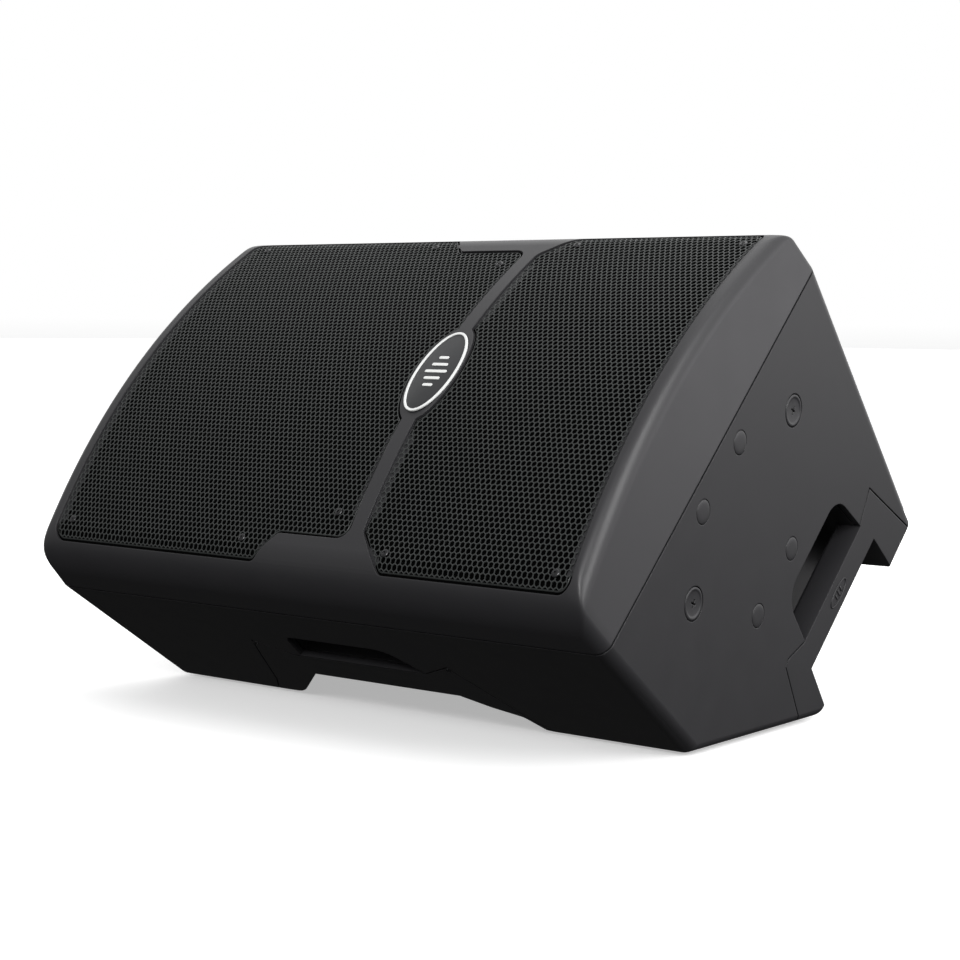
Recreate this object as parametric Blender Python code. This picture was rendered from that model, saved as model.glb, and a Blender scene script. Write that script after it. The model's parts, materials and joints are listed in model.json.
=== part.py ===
"""Stage monitor wedge: a two-way powered loudspeaker cabinet lying on its slanted flank.

Metres, +Z up, the floor at Z = 0. The cabinet is drawn in its own frame, held by the empty
"cabinet": X runs along the length (+X is the horn end), Y runs up the baffle, and Z stands out of
the plane where the front moulding meets the body. "Depth" below means minus that Z.
Run with: blender --background --python part.py
"""

import math

import bmesh
import bpy
from mathutils import Matrix, Vector

# ---- driving dimensions ------------------------------------------------------------------------
LENGTH = 0.690  # along the seam between front moulding and body
WIDTH = 0.454  # across the seam
BODY_DEPTH = 0.353  # seam to the flat back
WEDGE_ANGLE = math.radians(46)  # lean of the seam plane above the floor
END_DRAFT = 0.0837  # each end closes in by this much per metre of depth
HIGH_SIDE_INSET = 0.010  # how far the upper side has closed in at the back
KNEE_DEPTH = 0.180  # where the lower side turns into the floor face
KNEE_INSET = 0.028
WALL = 0.0055
SEAM = 0.0015  # the shadow line between front moulding and body
GAP = 0.0004  # running gap between pieces that touch
PANEL_SEAM = 0.0008  # visible joint round the rear housing
FOOT_PROUD = 0.0025  # rubber feet under the floor face

# front moulding
FRONT_EDGE = 0.0544  # height of the front surface at the long edges
FRONT_CROWN = 0.0357  # how much higher it is along the middle
END_ROUND = 0.012
END_DROP = 0.016
FRONT_DRAFT = 0.004  # how far each end has closed in below its roll
SIDE_ROUND = 0.034
CORNER = 0.012  # plan radius of the cabinet's corners
SKIN = 0.005
DECK_BACK = 0.010
DECK_FRONT = 0.018

# grilles and the strip with the badge between them
STRIP_X = 0.0778
STRIP_HALF = 0.0088
GRILLE_HALF_WIDTH = 0.209
GRILLE_LOW_X = -0.321
GRILLE_HIGH_X = 0.3264
LOBE = (0.0277, 0.060)  # half axes of the widening round the badge
BADGE = (0.0248, 0.0495)
GRILLE_SINK = 0.0010  # below the moulding's surface
SHEET = 0.0015
LEDGE = 0.007
REVEAL = 0.0010  # gap round a grille
FOAM = 0.003

# loudspeakers
WOOFER_X = -0.126
WOOFER_HOLE = 0.1775
WOOFER_FLANGE = 0.193
HORN_X = 0.2155
HORN_MOUTH = (0.092, 0.126)
PORT_V = 0.170
PORT_HALF = (0.062, 0.0170)
ROUND_STEPS = 20

# handles, as depths and distances along the face that each one opens in
BAR_THICK = 0.028
TOP_DEEP = 0.055
SIDE_DEEP = 0.078
TOP_OPENING = (0.205, 0.267)
TOP_BAR = 0.299
SIDE_OPENING = (0.050, 0.0876)
SIDE_BAR = 0.1277
SIDE_HALF = 0.083

# rear panel
PANEL_X, PANEL_V = -0.030, 0.0925
PANEL_SIZE = (0.430, 0.180)
PANEL_FACE = 0.332  # depth of its outer face
PANEL_THICK = 0.0025
PANEL_LEDGE = 0.008

SIN, COS = math.sin(WEDGE_ANGLE), math.cos(WEDGE_ANGLE)
HALF_L, HALF_W = LENGTH / 2, WIDTH / 2
KNEE_V = -HALF_W + KNEE_INSET


def front_height(v):
    """Height of the front surface above the seam plane, v across the width."""
    return FRONT_EDGE + FRONT_CROWN * (1 - (v / HALF_W) ** 2)


def surface_height(v):
    """The front surface with the roll along its long edges."""
    inward = min(1.0, max(0.0, (HALF_W - abs(v)) / SIDE_ROUND))
    return front_height(v) - SIDE_ROUND * (1 - math.sqrt(1 - (1 - inward) ** 2))


def end_x(depth):
    """Half length of the body at a depth."""
    return HALF_L - END_DRAFT * depth


def seated_origin():
    """World Y and Z of the cabinet frame that put the box's middle over the origin, on its feet."""
    rise = KNEE_DEPTH * COS - KNEE_V * SIN + FOOT_PROUD
    back = (HALF_W - HIGH_SIDE_INSET) * COS + BODY_DEPTH * SIN
    turns = [math.pi / 2 * i / 90 for i in range(91)]
    reaches = []
    for t in turns:
        v = HALF_W - SIDE_ROUND * (1 - math.cos(t))
        height = front_height(v) - SIDE_ROUND * (1 - math.sin(t))
        reaches.append(v * COS + height * SIN)
    return (max(reaches) - back) / 2, rise


# ---- scene and materials -----------------------------------------------------------------------
def clear_scene():
    for obj in list(bpy.data.objects):
        bpy.data.objects.remove(obj)


def material(name, color, roughness, metallic=0.0):
    found = bpy.data.materials.get(name)
    if found:
        return found
    made = bpy.data.materials.new(name)
    made.use_nodes = True
    shader = made.node_tree.nodes["Principled BSDF"]
    shader.inputs["Base Color"].default_value = (*color, 1)
    shader.inputs["Roughness"].default_value = roughness
    shader.inputs["Metallic"].default_value = metallic
    made.diffuse_color = (*color, 1)
    return made


FINISHES = {
    "cabinet_plastic": ((0.045, 0.047, 0.05), 0.55),
    "grille_steel": ((0.02, 0.022, 0.022), 0.45, 0.6),
    "foam": ((0.008, 0.008, 0.008), 0.95),
    "badge_silver": ((0.8, 0.8, 0.8), 0.3, 0.6),
    "cast_frame": ((0.03, 0.03, 0.03), 0.5, 0.8),
    "zinc": ((0.55, 0.55, 0.57), 0.35, 1.0),
    "ferrite": ((0.06, 0.06, 0.065), 0.7),
    "paper": ((0.03, 0.03, 0.032), 0.85),
    "treated_cloth": ((0.10, 0.07, 0.03), 0.9),
    "copper": ((0.6, 0.3, 0.15), 0.4, 1.0),
    "horn_plastic": ((0.02, 0.02, 0.02), 0.4),
    "panel_metal": ((0.035, 0.036, 0.038), 0.5, 0.7),
    "heat_sink": ((0.03, 0.03, 0.032), 0.45, 0.9),
    "board": ((0.02, 0.12, 0.05), 0.5),
    "connector": ((0.02, 0.02, 0.02), 0.45),
    "latch_red": ((0.5, 0.03, 0.02), 0.4),
    "knob": ((0.03, 0.03, 0.03), 0.5),
    "display": ((0.05, 0.12, 0.3), 0.1),
    "rubber": ((0.02, 0.02, 0.02), 0.9),
    "black_screw": ((0.03, 0.03, 0.03), 0.4, 0.8),
    "wire": ((0.4, 0.02, 0.02), 0.5),
}


def finish(obj, slot):
    obj.data.materials.clear()
    obj.data.materials.append(material(slot, *FINISHES[slot]))
    return obj


def empty(name, parent=None, location=(0, 0, 0), rotation=(0, 0, 0)):
    made = bpy.data.objects.new(name, None)
    bpy.context.scene.collection.objects.link(made)
    made.parent = parent
    made.location = location
    made.rotation_euler = rotation
    return made


# ---- mesh tools --------------------------------------------------------------------------------
def object_of(name, bm, parent, slot=None, location=(0, 0, 0), rotation=(0, 0, 0), smooth=None):
    """A bmesh as a named object. smooth is the angle in degrees that stays sharp."""
    bmesh.ops.remove_doubles(bm, verts=bm.verts, dist=1e-6)
    bmesh.ops.recalc_face_normals(bm, faces=bm.faces)
    mesh = bpy.data.meshes.new(name)
    bm.to_mesh(mesh)
    bm.free()
    if smooth is not None:
        mesh.shade_smooth()
        mesh.set_sharp_from_angle(angle=math.radians(smooth))
    obj = bpy.data.objects.new(name, mesh)
    bpy.context.scene.collection.objects.link(obj)
    obj.parent = parent
    obj.location = location
    obj.rotation_euler = rotation
    if slot:
        finish(obj, slot)
    return obj


def helper(obj):
    """Marks an object as a cutter, which is no piece of its own."""
    obj.hide_render = True
    obj.display_type = "WIRE"
    return obj


def boolean(obj, other, operation="DIFFERENCE"):
    modifier = obj.modifiers.new(operation.lower(), "BOOLEAN")
    modifier.operation = operation
    modifier.object = helper(other)
    return obj


def ring_faces(bm, rings, closed=False):
    """Bridges rings of points, each with the same number, and returns the rings of vertices."""
    made = [[bm.verts.new(p) for p in ring] for ring in rings]
    pairs = list(zip(made, made[1:] + made[:1])) if closed else list(zip(made, made[1:]))
    for low, high in pairs:
        for i in range(len(low)):
            j = (i + 1) % len(low)
            bm.faces.new((low[i], low[j], high[j], high[i]))
    return made


def prism(name, outline, plane, low, high, parent, slot=None, **placing):
    """An outline extruded along the third axis. plane names the axes that the outline is in."""
    bm = bmesh.new()
    order = {"XY": (0, 1, 2), "YZ": (2, 0, 1), "XZ": (0, 2, 1)}[plane]

    def place(a, b, c):
        values = (a, b, c)
        return Vector([values[order[k]] for k in range(3)])

    ring = [bm.verts.new(place(a, b, low)) for a, b in outline]
    face = bm.faces.new(ring)
    raised = bmesh.ops.extrude_face_region(bm, geom=[face])["geom"]
    lift = place(0, 0, high) - place(0, 0, low)
    moved = [v for v in raised if isinstance(v, bmesh.types.BMVert)]
    bmesh.ops.translate(bm, verts=moved, vec=lift)
    return object_of(name, bm, parent, slot, **placing)


def block(name, low, high, parent, slot=None, **placing):
    """A box between two corners."""
    outline = [(low[0], low[1]), (high[0], low[1]), (high[0], high[1]), (low[0], high[1])]
    return prism(name, outline, "XY", low[2], high[2], parent, slot, **placing)


def lathe(name, profile, parent, slot=None, steps=ROUND_STEPS, smooth=40, **placing):
    """A profile of (radius, height) points turned about Z, left open where both ends are on it."""
    bm = bmesh.new()
    line = [bm.verts.new((r, 0, z)) for r, z in profile]
    on_axis = profile[0][0] == 0 and profile[-1][0] == 0
    ends = zip(line, line[1:]) if on_axis else zip(line, line[1:] + line[:1])
    edges = [bm.edges.new(pair) for pair in ends]
    turn = {"cent": (0, 0, 0), "axis": (0, 0, 1), "angle": math.tau, "steps": steps}
    bmesh.ops.spin(bm, geom=line + edges, use_merge=True, **turn)
    bmesh.ops.remove_doubles(bm, verts=bm.verts, dist=1e-6)
    return object_of(name, bm, parent, slot, smooth=smooth, **placing)


def rod(name, radius, low, high, parent, slot=None, steps=ROUND_STEPS, **placing):
    profile = [(0, low), (radius, low), (radius, high), (0, high)]
    return lathe(name, profile, parent, slot, steps, **placing)


def washer(name, inner, outer, low, high, parent, slot, steps=ROUND_STEPS):
    """A flat ring between two radii and two heights."""
    profile = [(inner, low), (outer, low), (outer, high), (inner, high)]
    return lathe(name, profile, parent, slot, steps)


def rounded(corners, steps=4):
    """An outline from (x, y, radius) corners, each turned by an arc of that radius."""
    points = []
    for i, (x, y, radius) in enumerate(corners):
        here = Vector((x, y))
        before = (Vector(corners[i - 1][:2]) - here).normalized()
        after = (Vector(corners[(i + 1) % len(corners)][:2]) - here).normalized()
        if radius == 0:
            points.append(here)
            continue
        half = before.angle(after) / 2
        reach = radius / math.tan(half)
        centre = here + (before + after).normalized() * radius / math.sin(half)
        start, end = here + before * reach - centre, here + after * reach - centre
        sweep = start.angle_signed(end)
        points += [centre + Matrix.Rotation(-sweep * k / steps, 2) @ start for k in range(steps + 1)]
    return [(p.x, p.y) for p in points]


def grown(outline, distance):
    """An anticlockwise outline moved outwards by a distance, keeping its corners."""
    points = [Vector(p) for p in outline]
    points = [p for i, p in enumerate(points) if (p - points[i - 1]).length > 1e-7]
    area = sum(a.x * b.y - b.x * a.y for a, b in zip(points, points[1:] + points[:1]))
    side = 1 if area > 0 else -1
    made = []
    for i, p in enumerate(points):
        into = (p - points[i - 1]).normalized()
        out = (points[(i + 1) % len(points)] - p).normalized()
        normal_in = Vector((into.y, -into.x)) * side
        normal_out = Vector((out.y, -out.x)) * side
        middle = (normal_in + normal_out).normalized()
        made.append(p + middle * distance / max(0.3, middle.dot(normal_in)))
    return [(p.x, p.y) for p in made]


def curved_slab(name, outline, low, high, parent, slot=None, steps=16):
    """A sheet with this (x, v) outline between two heights, which are functions of v.

    The outline is cut from a strip that is curved across the width, so both faces follow the crown."""
    reach = HALF_W - 0.006
    across = [reach * math.sin(math.pi / 2 * (2 * i / steps - 1)) for i in range(steps + 1)]
    loop = [(v, high(v)) for v in across] + [(v, low(v)) for v in reversed(across)]
    xs = [p[0] for p in outline]
    sheet = prism(name, loop, "YZ", min(xs) - 0.01, max(xs) + 0.01, parent, slot)
    mask = prism(f"{name}_outline", outline, "XY", -0.05, 0.2, parent)
    return boolean(sheet, mask, "INTERSECT")


# ---- cabinet outlines --------------------------------------------------------------------------
def half_ring(half_x, half_v, radius, corner_steps, side_steps):
    """The +X half of a rounded rectangle from low v to high v, as (x, v, outward x, outward v)."""
    points = []
    for k in range(corner_steps + 1):
        t = math.pi / 2 * (k / corner_steps - 1)
        nx, nv = math.cos(t), math.sin(t)
        points.append((half_x - radius * (1 - nx), -half_v + radius * (1 + nv), nx, nv))
    top = [(x, -v, nx, -nv) for x, v, nx, nv in reversed(points)]
    low_v, high_v = points[-1][1], top[0][1]
    for k in range(1, side_steps):
        points.append((half_x, low_v + (high_v - low_v) * k / side_steps, 1, 0))
    return points + top


def pillow(name, inset, base, parent, slot=None, corner_steps=3, side_steps=8, turn_steps=4):
    """The front moulding's outer form, or that form moved inwards by inset, from height base."""
    end_round, end_drop, side_round = END_ROUND - inset * 0.8, END_DROP - inset, SIDE_ROUND - inset
    rows = [(0.0, None)] + [(1.0, k) for k in range(turn_steps + 1)]
    bm, rings = bmesh.new(), []
    for draft, step in rows:
        turn = math.pi / 2 * (step or 0) / turn_steps
        inward = 1 - math.cos(turn)
        half_x = HALF_L - inset - FRONT_DRAFT * draft - end_round * inward
        half_v = HALF_W - inset - side_round * inward
        side = half_ring(half_x, half_v, CORNER - inset, corner_steps, side_steps)
        right = []
        for x, v, nx, nv in side:
            drop = end_drop * nx * nx + side_round * nv * nv
            height = front_height(v) - inset - drop * (1 - math.sin(turn))
            right.append(Vector((x, v, base if step is None else height)))
        left = [Vector((-p.x, p.y, p.z)) for p in reversed(right)]
        rings.append(right + left)
    made = ring_faces(bm, rings)
    count = len(rings[0])
    for ring in (made[0], made[-1]):
        for i in range(count // 2 - 1):
            bm.faces.new((ring[i], ring[i + 1], ring[count - 2 - i], ring[count - 1 - i]))
    return object_of(name, bm, parent, slot, smooth=35)


def body_sides(depth, inset=0.0):
    """Lower and upper edge of the body's cross-section at a depth, moved in by inset."""
    slope = KNEE_INSET / KNEE_DEPTH
    lean = HIGH_SIDE_INSET / BODY_DEPTH
    chamfer = 1 / math.tan(WEDGE_ANGLE)
    side_v = -HALF_W + slope * depth + inset * math.hypot(1, slope)
    floor_v = KNEE_V + chamfer * (depth - KNEE_DEPTH) + inset * math.hypot(1, chamfer)
    return max(side_v, floor_v), HALF_W - lean * depth - inset * math.hypot(1, lean)


def inner_knee(inset):
    """Depth at which the lower side meets the floor face once both have moved in."""
    slope = KNEE_INSET / KNEE_DEPTH
    chamfer = 1 / math.tan(WEDGE_ANGLE)
    return KNEE_DEPTH - inset * (math.hypot(1, chamfer) - math.hypot(1, slope)) / (chamfer - slope)


def body_block(name, inset, top, parent, slot=None, bottom=BODY_DEPTH):
    """The body's outer form, or that form moved in: three rounded outlines joined in depth."""
    bm, rings = bmesh.new(), []
    for depth in (top, inner_knee(inset), bottom - inset):
        low, high = body_sides(depth, inset)
        half_x = end_x(depth) - inset * math.hypot(1, END_DRAFT)
        side = half_ring(half_x, (high - low) / 2, CORNER - inset, 4, 1)
        right = [Vector((x, v + (high + low) / 2, -depth)) for x, v, _, _ in side]
        rings.append(right + [Vector((-p.x, p.y, p.z)) for p in reversed(right)])
    made = ring_faces(bm, rings)
    bm.faces.new(made[0])
    bm.faces.new(made[-1])
    return object_of(name, bm, parent, slot)


def woofer_grille_outline():
    """The larger grille, stepped at its inner corners, with a bay for the badge."""
    inner = STRIP_X - STRIP_HALF
    half = GRILLE_HALF_WIDTH
    low = [(GRILLE_LOW_X, -half, 0.014), (-0.040, -half, 0.008)]
    low += [(-0.016, -0.182, 0.008), (inner, -0.182, 0.013)]
    high = [(x, -v, r) for x, v, r in reversed(low)]
    edge = rounded(low + high)
    split = next(i for i, p in enumerate(edge) if p[1] > 0)
    return edge[:split] + badge_bay(-1) + edge[split:]


def horn_grille_outline():
    """The smaller grille, with cut inner corners and a bay for the badge."""
    inner = STRIP_X + STRIP_HALF
    half = GRILLE_HALF_WIDTH
    high = [(GRILLE_HIGH_X, half, 0.012), (0.117, half, 0.008), (inner, 0.174, 0.008)]
    low = [(x, -v, r) for x, v, r in reversed(high)]
    edge = rounded(high + low)
    split = next(i for i, p in enumerate(edge) if p[1] < 0)
    return edge[:split] + badge_bay(1) + edge[split:]


def badge_bay(side, steps=8):
    """The grille's edge round the badge, upwards on the woofer's side and downwards on the horn's."""
    reach = LOBE[1] * math.sqrt(1 - (STRIP_HALF / LOBE[0]) ** 2)
    points = []
    for k in range(steps + 1):
        v = side * reach * (1 - 2 * k / steps)
        points.append((STRIP_X + side * LOBE[0] * math.sqrt(1 - (v / LOBE[1]) ** 2), v))
    return points


# ---- handles -----------------------------------------------------------------------------------
def top_pocket(name, parent, grow=0.0):
    """The space of the handle in the horn end: finger opening, room behind the bar, and rear notch."""
    first, second = TOP_OPENING
    back = BODY_DEPTH + 0.02
    plan = [(-0.002, first, 0.026), (0.122, first, 0.028), (0.137, second, 0), (0.148, TOP_BAR, 0)]
    plan += [(0.158, back, 0), (-0.023, back, 0), (-0.014, TOP_BAR, 0), (-0.006, second, 0)]
    plan = grown(rounded([(v, -d, r) for v, d, r in plan]), grow)
    outer = end_x(first)
    space = prism(name, plan, "YZ", outer - TOP_DEEP - 0.02 - grow, outer + 0.03, parent)
    deep = end_x(TOP_BAR) - TOP_DEEP
    ramp = [(outer + 0.04, first), (outer - 0.012, first), (deep + 0.006, second - 0.012), (deep, second)]
    ramp += [(deep, back), (outer + 0.04, back)]
    ramp = grown([(x, -d) for x, d in ramp], grow)
    slice_ = prism(f"{name}_ramp", ramp, "XZ", -0.08, 0.20, parent)
    return boolean(space, slice_, "INTERSECT")


def side_pocket(name, parent, grow=0.0):
    """The space of the handle in the lower side, open to the floor face under its bar.

    Its lower flank ends in a rounded foot, and widens behind that foot."""
    first, second = SIDE_OPENING
    low = KNEE_DEPTH + 0.09
    plan = [(-0.066, first, 0.012), (0.062, first, 0.030), (SIDE_HALF + 0.002, second, 0)]
    plan += [(0.099, SIDE_BAR, 0), (0.127, 0.1437, 0), (0.1575, 0.1553, 0), (0.1705, 0.1775, 0)]
    plan += [(0.1775, KNEE_DEPTH, 0), (0.1775, low, 0), (-0.1635, low, 0), (-0.1635, KNEE_DEPTH, 0)]
    plan += [(-0.1443, KNEE_DEPTH, 0.046), (-0.083, 0.124, 0)]
    plan = grown(rounded([(x, -d, r) for x, d, r in plan], 3), grow)
    space = prism(name, plan, "XZ", -0.30, KNEE_V + SIDE_DEEP + 0.02 + grow, parent)
    behind = grown([(-0.160, 0.004), (-0.130, 0.004), (-0.130, 0.116), (-0.2448, 0.116)], grow)
    knee = {"location": (0, KNEE_V, -KNEE_DEPTH), "rotation": (-WEDGE_ANGLE, 0, 0)}
    boolean(space, prism(f"{name}_behind", behind, "XY", -0.03, 0.062 + grow, parent, **knee), "UNION")
    face = -HALF_W + KNEE_INSET * first / KNEE_DEPTH
    deep = KNEE_V + SIDE_DEEP
    ramp = [(-0.31, first), (face + 0.012, first), (deep - 0.006, second), (deep, second + 0.012)]
    ramp += [(deep, low), (-0.31, low)]
    ramp = grown([(v, -d) for v, d in ramp], grow)
    slice_ = prism(f"{name}_ramp", ramp, "YZ", -0.25, 0.25, parent)
    return boolean(space, slice_, "INTERSECT")


def soften(obj, width, segments=2):
    modifier = obj.modifiers.new("soft_edges", "BEVEL")
    modifier.width = width
    modifier.segments = segments
    return obj


def top_bar(name, parent):
    """The grip across the top handle. It reaches past the end face, which trims it flush."""
    outer = end_x(TOP_BAR)
    low = (outer - BAR_THICK, -0.05, -TOP_BAR)
    return soften(block(name, low, (outer + 0.05, 0.19, -TOP_OPENING[1]), parent), 0.006)


def side_bar(name, parent):
    face = -HALF_W + KNEE_INSET * SIDE_BAR / KNEE_DEPTH
    low = (-0.20, face - 0.05, -SIDE_BAR)
    return soften(block(name, low, (0.20, face + BAR_THICK, -SIDE_OPENING[1]), parent), 0.006)


# ---- body and rear housing ---------------------------------------------------------------------
def panel_box(name, grow, low, high, parent):
    """A box over the rear panel, grown beyond its edges, between two depths."""
    half_x, half_v = PANEL_SIZE[0] / 2 + grow, PANEL_SIZE[1] / 2 + grow
    corner = (PANEL_X - half_x, PANEL_V - half_v, -high)
    return block(name, corner, (PANEL_X + half_x, PANEL_V + half_v, -low), parent)


def moulded_shell(name, parent, slot=None):
    """Body and rear housing as one hollow moulding, with the handle pockets and the panel well."""
    shell = body_block(name, 0.0, -0.02, parent, slot)
    soften(shell, 0.004)
    boolean(shell, block(f"{name}_above", (-0.40, -0.30, -SEAM / 2), (0.40, 0.30, 0.06), parent))
    hollow = body_block(f"{name}_hollow", WALL, -0.03, parent)
    boolean(hollow, top_pocket(f"{name}_top_wall", parent, grow=0.004))
    boolean(hollow, side_pocket(f"{name}_side_wall", parent, grow=0.004))
    well_floor = PANEL_FACE - PANEL_THICK - GAP
    boolean(hollow, panel_box(f"{name}_well_wall", 0.005, well_floor - 0.0041, 0.5, parent))
    boolean(shell, hollow)
    for space, bar in ((top_pocket, top_bar), (side_pocket, side_bar)):
        void = space(f"{name}_{space.__name__}", parent)
        boolean(void, bar(f"{name}_{bar.__name__}", parent))
        boolean(shell, void)
    boolean(shell, panel_box(f"{name}_well", GAP, well_floor, 0.5, parent))
    boolean(shell, panel_box(f"{name}_window", -PANEL_LEDGE, 0.2, 0.4, parent))
    return shell


def rear_region(name, parent, grow=0.0):
    """All that belongs to the rear housing: the back, its wells and a tongue at each handle."""
    region = body_block(name, 0.008 - grow, 0.030 - grow, parent, bottom=BODY_DEPTH + 0.02)
    tongue = [(-0.0076, 0.267), (-0.0372, 0.2546), (-0.0441, 0.2574), (-0.070, 0.360), (-0.070, 0.40)]
    tongue += [(0.215, 0.40), (0.2043, 0.350), (0.1718, 0.2519), (0.1339, 0.2657)]
    tongue = grown([(v, -d) for v, d in tongue], grow)
    boolean(region, prism(f"{name}_top", tongue, "YZ", 0.240 - grow, 0.40, parent), "UNION")
    side = [(0.085, 0.0895), (0.125, 0.069), (0.163, 0.156), (0.186, 0.190), (0.186, 0.40)]
    side += [(-x, d) for x, d in reversed(side)]
    side = grown([(x, -d) for x, d in side], grow)
    boolean(region, prism(f"{name}_side", side, "XZ", -0.30, 0.03 + grow, parent), "UNION")
    return region


def face_frame(name, parent, x_side, v, depth):
    """An empty on an end face, its Z along the face's outward normal."""
    tilt = math.atan(END_DRAFT)
    location = (x_side * end_x(depth), v, -depth)
    return empty(name, parent, location, (0, x_side * (math.pi / 2 + tilt), 0))


def recess(obj, name, radius, depth, parent, hole=0.0, hole_depth=0.03, steps=16):
    """A round seat in a shell, Z outward, with an optional hole through it."""
    profile = [(0, -hole_depth), (hole, -hole_depth), (hole, -depth)] if hole else [(0, -depth)]
    profile += [(radius, -depth), (radius, 0.02), (0, 0.02)]
    boolean(obj, lathe(name, profile, parent, steps=steps))


RIGGING = ((0.1145, 0.074), (-0.1115, 0.075))
PLUGS = ((0.0305, 0.025), (-0.050, 0.025), (0.0325, 0.175), (-0.047, 0.175))
BOTTOM_FEET = ((0.150, 0.050), (-0.135, 0.050), (0.150, 0.290), (-0.070, 0.240))
FLOOR_FEET = ((-0.250, 0.030), (0.250, 0.030), (-0.230, 0.195), (0.215, 0.195))
POLE = (0.020, 0.185)
POLE_BORE = 0.0180


def build_body(cabinet):
    """Body shell and rear housing, and the hardware in their faces."""
    body = moulded_shell("cabinet_body", cabinet, "cabinet_plastic")
    housing = moulded_shell("rear_housing", cabinet, "cabinet_plastic")
    boolean(body, rear_region("rear_region_out", cabinet, grow=PANEL_SEAM))
    boolean(housing, rear_region("rear_region_in", cabinet), "INTERSECT")

    for i, (v, depth) in enumerate(RIGGING, 1):
        seat = face_frame(f"rigging_{i}", cabinet, 1, v, depth)
        recess(body, f"rigging_{i}_seat", 0.0158, 0.0030, seat, hole=0.0054)
        head = [(0, -0.026), (0.005, -0.026), (0.005, -0.0026), (0.0152, -0.0026), (0.0152, -0.0004)]
        head += [(0.0138, 0.0004), (0.0105, 0.0004), (0.0080, -0.0008), (0, -0.0008)]
        lathe(f"rigging_bolt_{i}", head, seat, "black_screw", steps=20)
    for i, (v, depth) in enumerate(PLUGS, 1):
        seat = face_frame(f"plug_{i}", cabinet, 1, v, depth)
        recess(body, f"plug_{i}_seat", 0.0114, 0.0020, seat)
        dome = [(0, -0.0016), (0.0110, -0.0016), (0.0108, 0.0004), (0.0080, 0.0012), (0, 0.0015)]
        lathe(f"top_plug_{i}", dome, seat, "cabinet_plastic", steps=16)
    for i, (v, depth) in enumerate(BOTTOM_FEET, 1):
        seat = face_frame(f"bottom_foot_seat_{i}", cabinet, -1, v, depth)
        recess(body, f"bottom_foot_{i}_seat", 0.0134, 0.0025, seat)
        pad = [(0, -0.0021), (0.013, -0.0021), (0.013, 0.0030), (0.0115, 0.0042), (0, 0.0042)]
        lathe(f"bottom_foot_{i}", pad, seat, "rubber", steps=16)
    for i, (x, along) in enumerate(FLOOR_FEET, 1):
        location = (x, KNEE_V + along * COS, -KNEE_DEPTH - along * SIN)
        seat = empty(f"floor_foot_seat_{i}", cabinet, location, (math.pi - WEDGE_ANGLE, 0, 0))
        recess(body, f"floor_foot_{i}_seat", 0.0134, 0.0025, seat)
        pad = [(0, -0.0021), (0.013, -0.0021), (0.013, 0.0016), (0.0122, FOOT_PROUD), (0, FOOT_PROUD)]
        lathe(f"floor_foot_{i}", pad, seat, "rubber", steps=16)

    v, depth = POLE
    mouth = empty("pole_mouth", cabinet, (-end_x(depth), v, -depth), (0, -math.pi / 2, 0))
    recess(body, "pole_hole", POLE_BORE + 0.0032, 0.03, mouth, steps=20)
    flange, bore, tube = POLE_BORE + 0.012, POLE_BORE, POLE_BORE + 0.0028
    recess(body, "pole_flange_seat", flange + 0.0004, 0.0035, mouth, steps=20)
    cup = [(0, -0.085), (tube, -0.085), (tube, -0.0030), (flange, -0.0030), (flange, 0.0)]
    cup += [(bore + 0.0015, 0.0), (bore, -0.0015), (bore, -0.082), (0, -0.082)]
    lathe("pole_socket", cup, mouth, "connector", steps=20)


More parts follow.
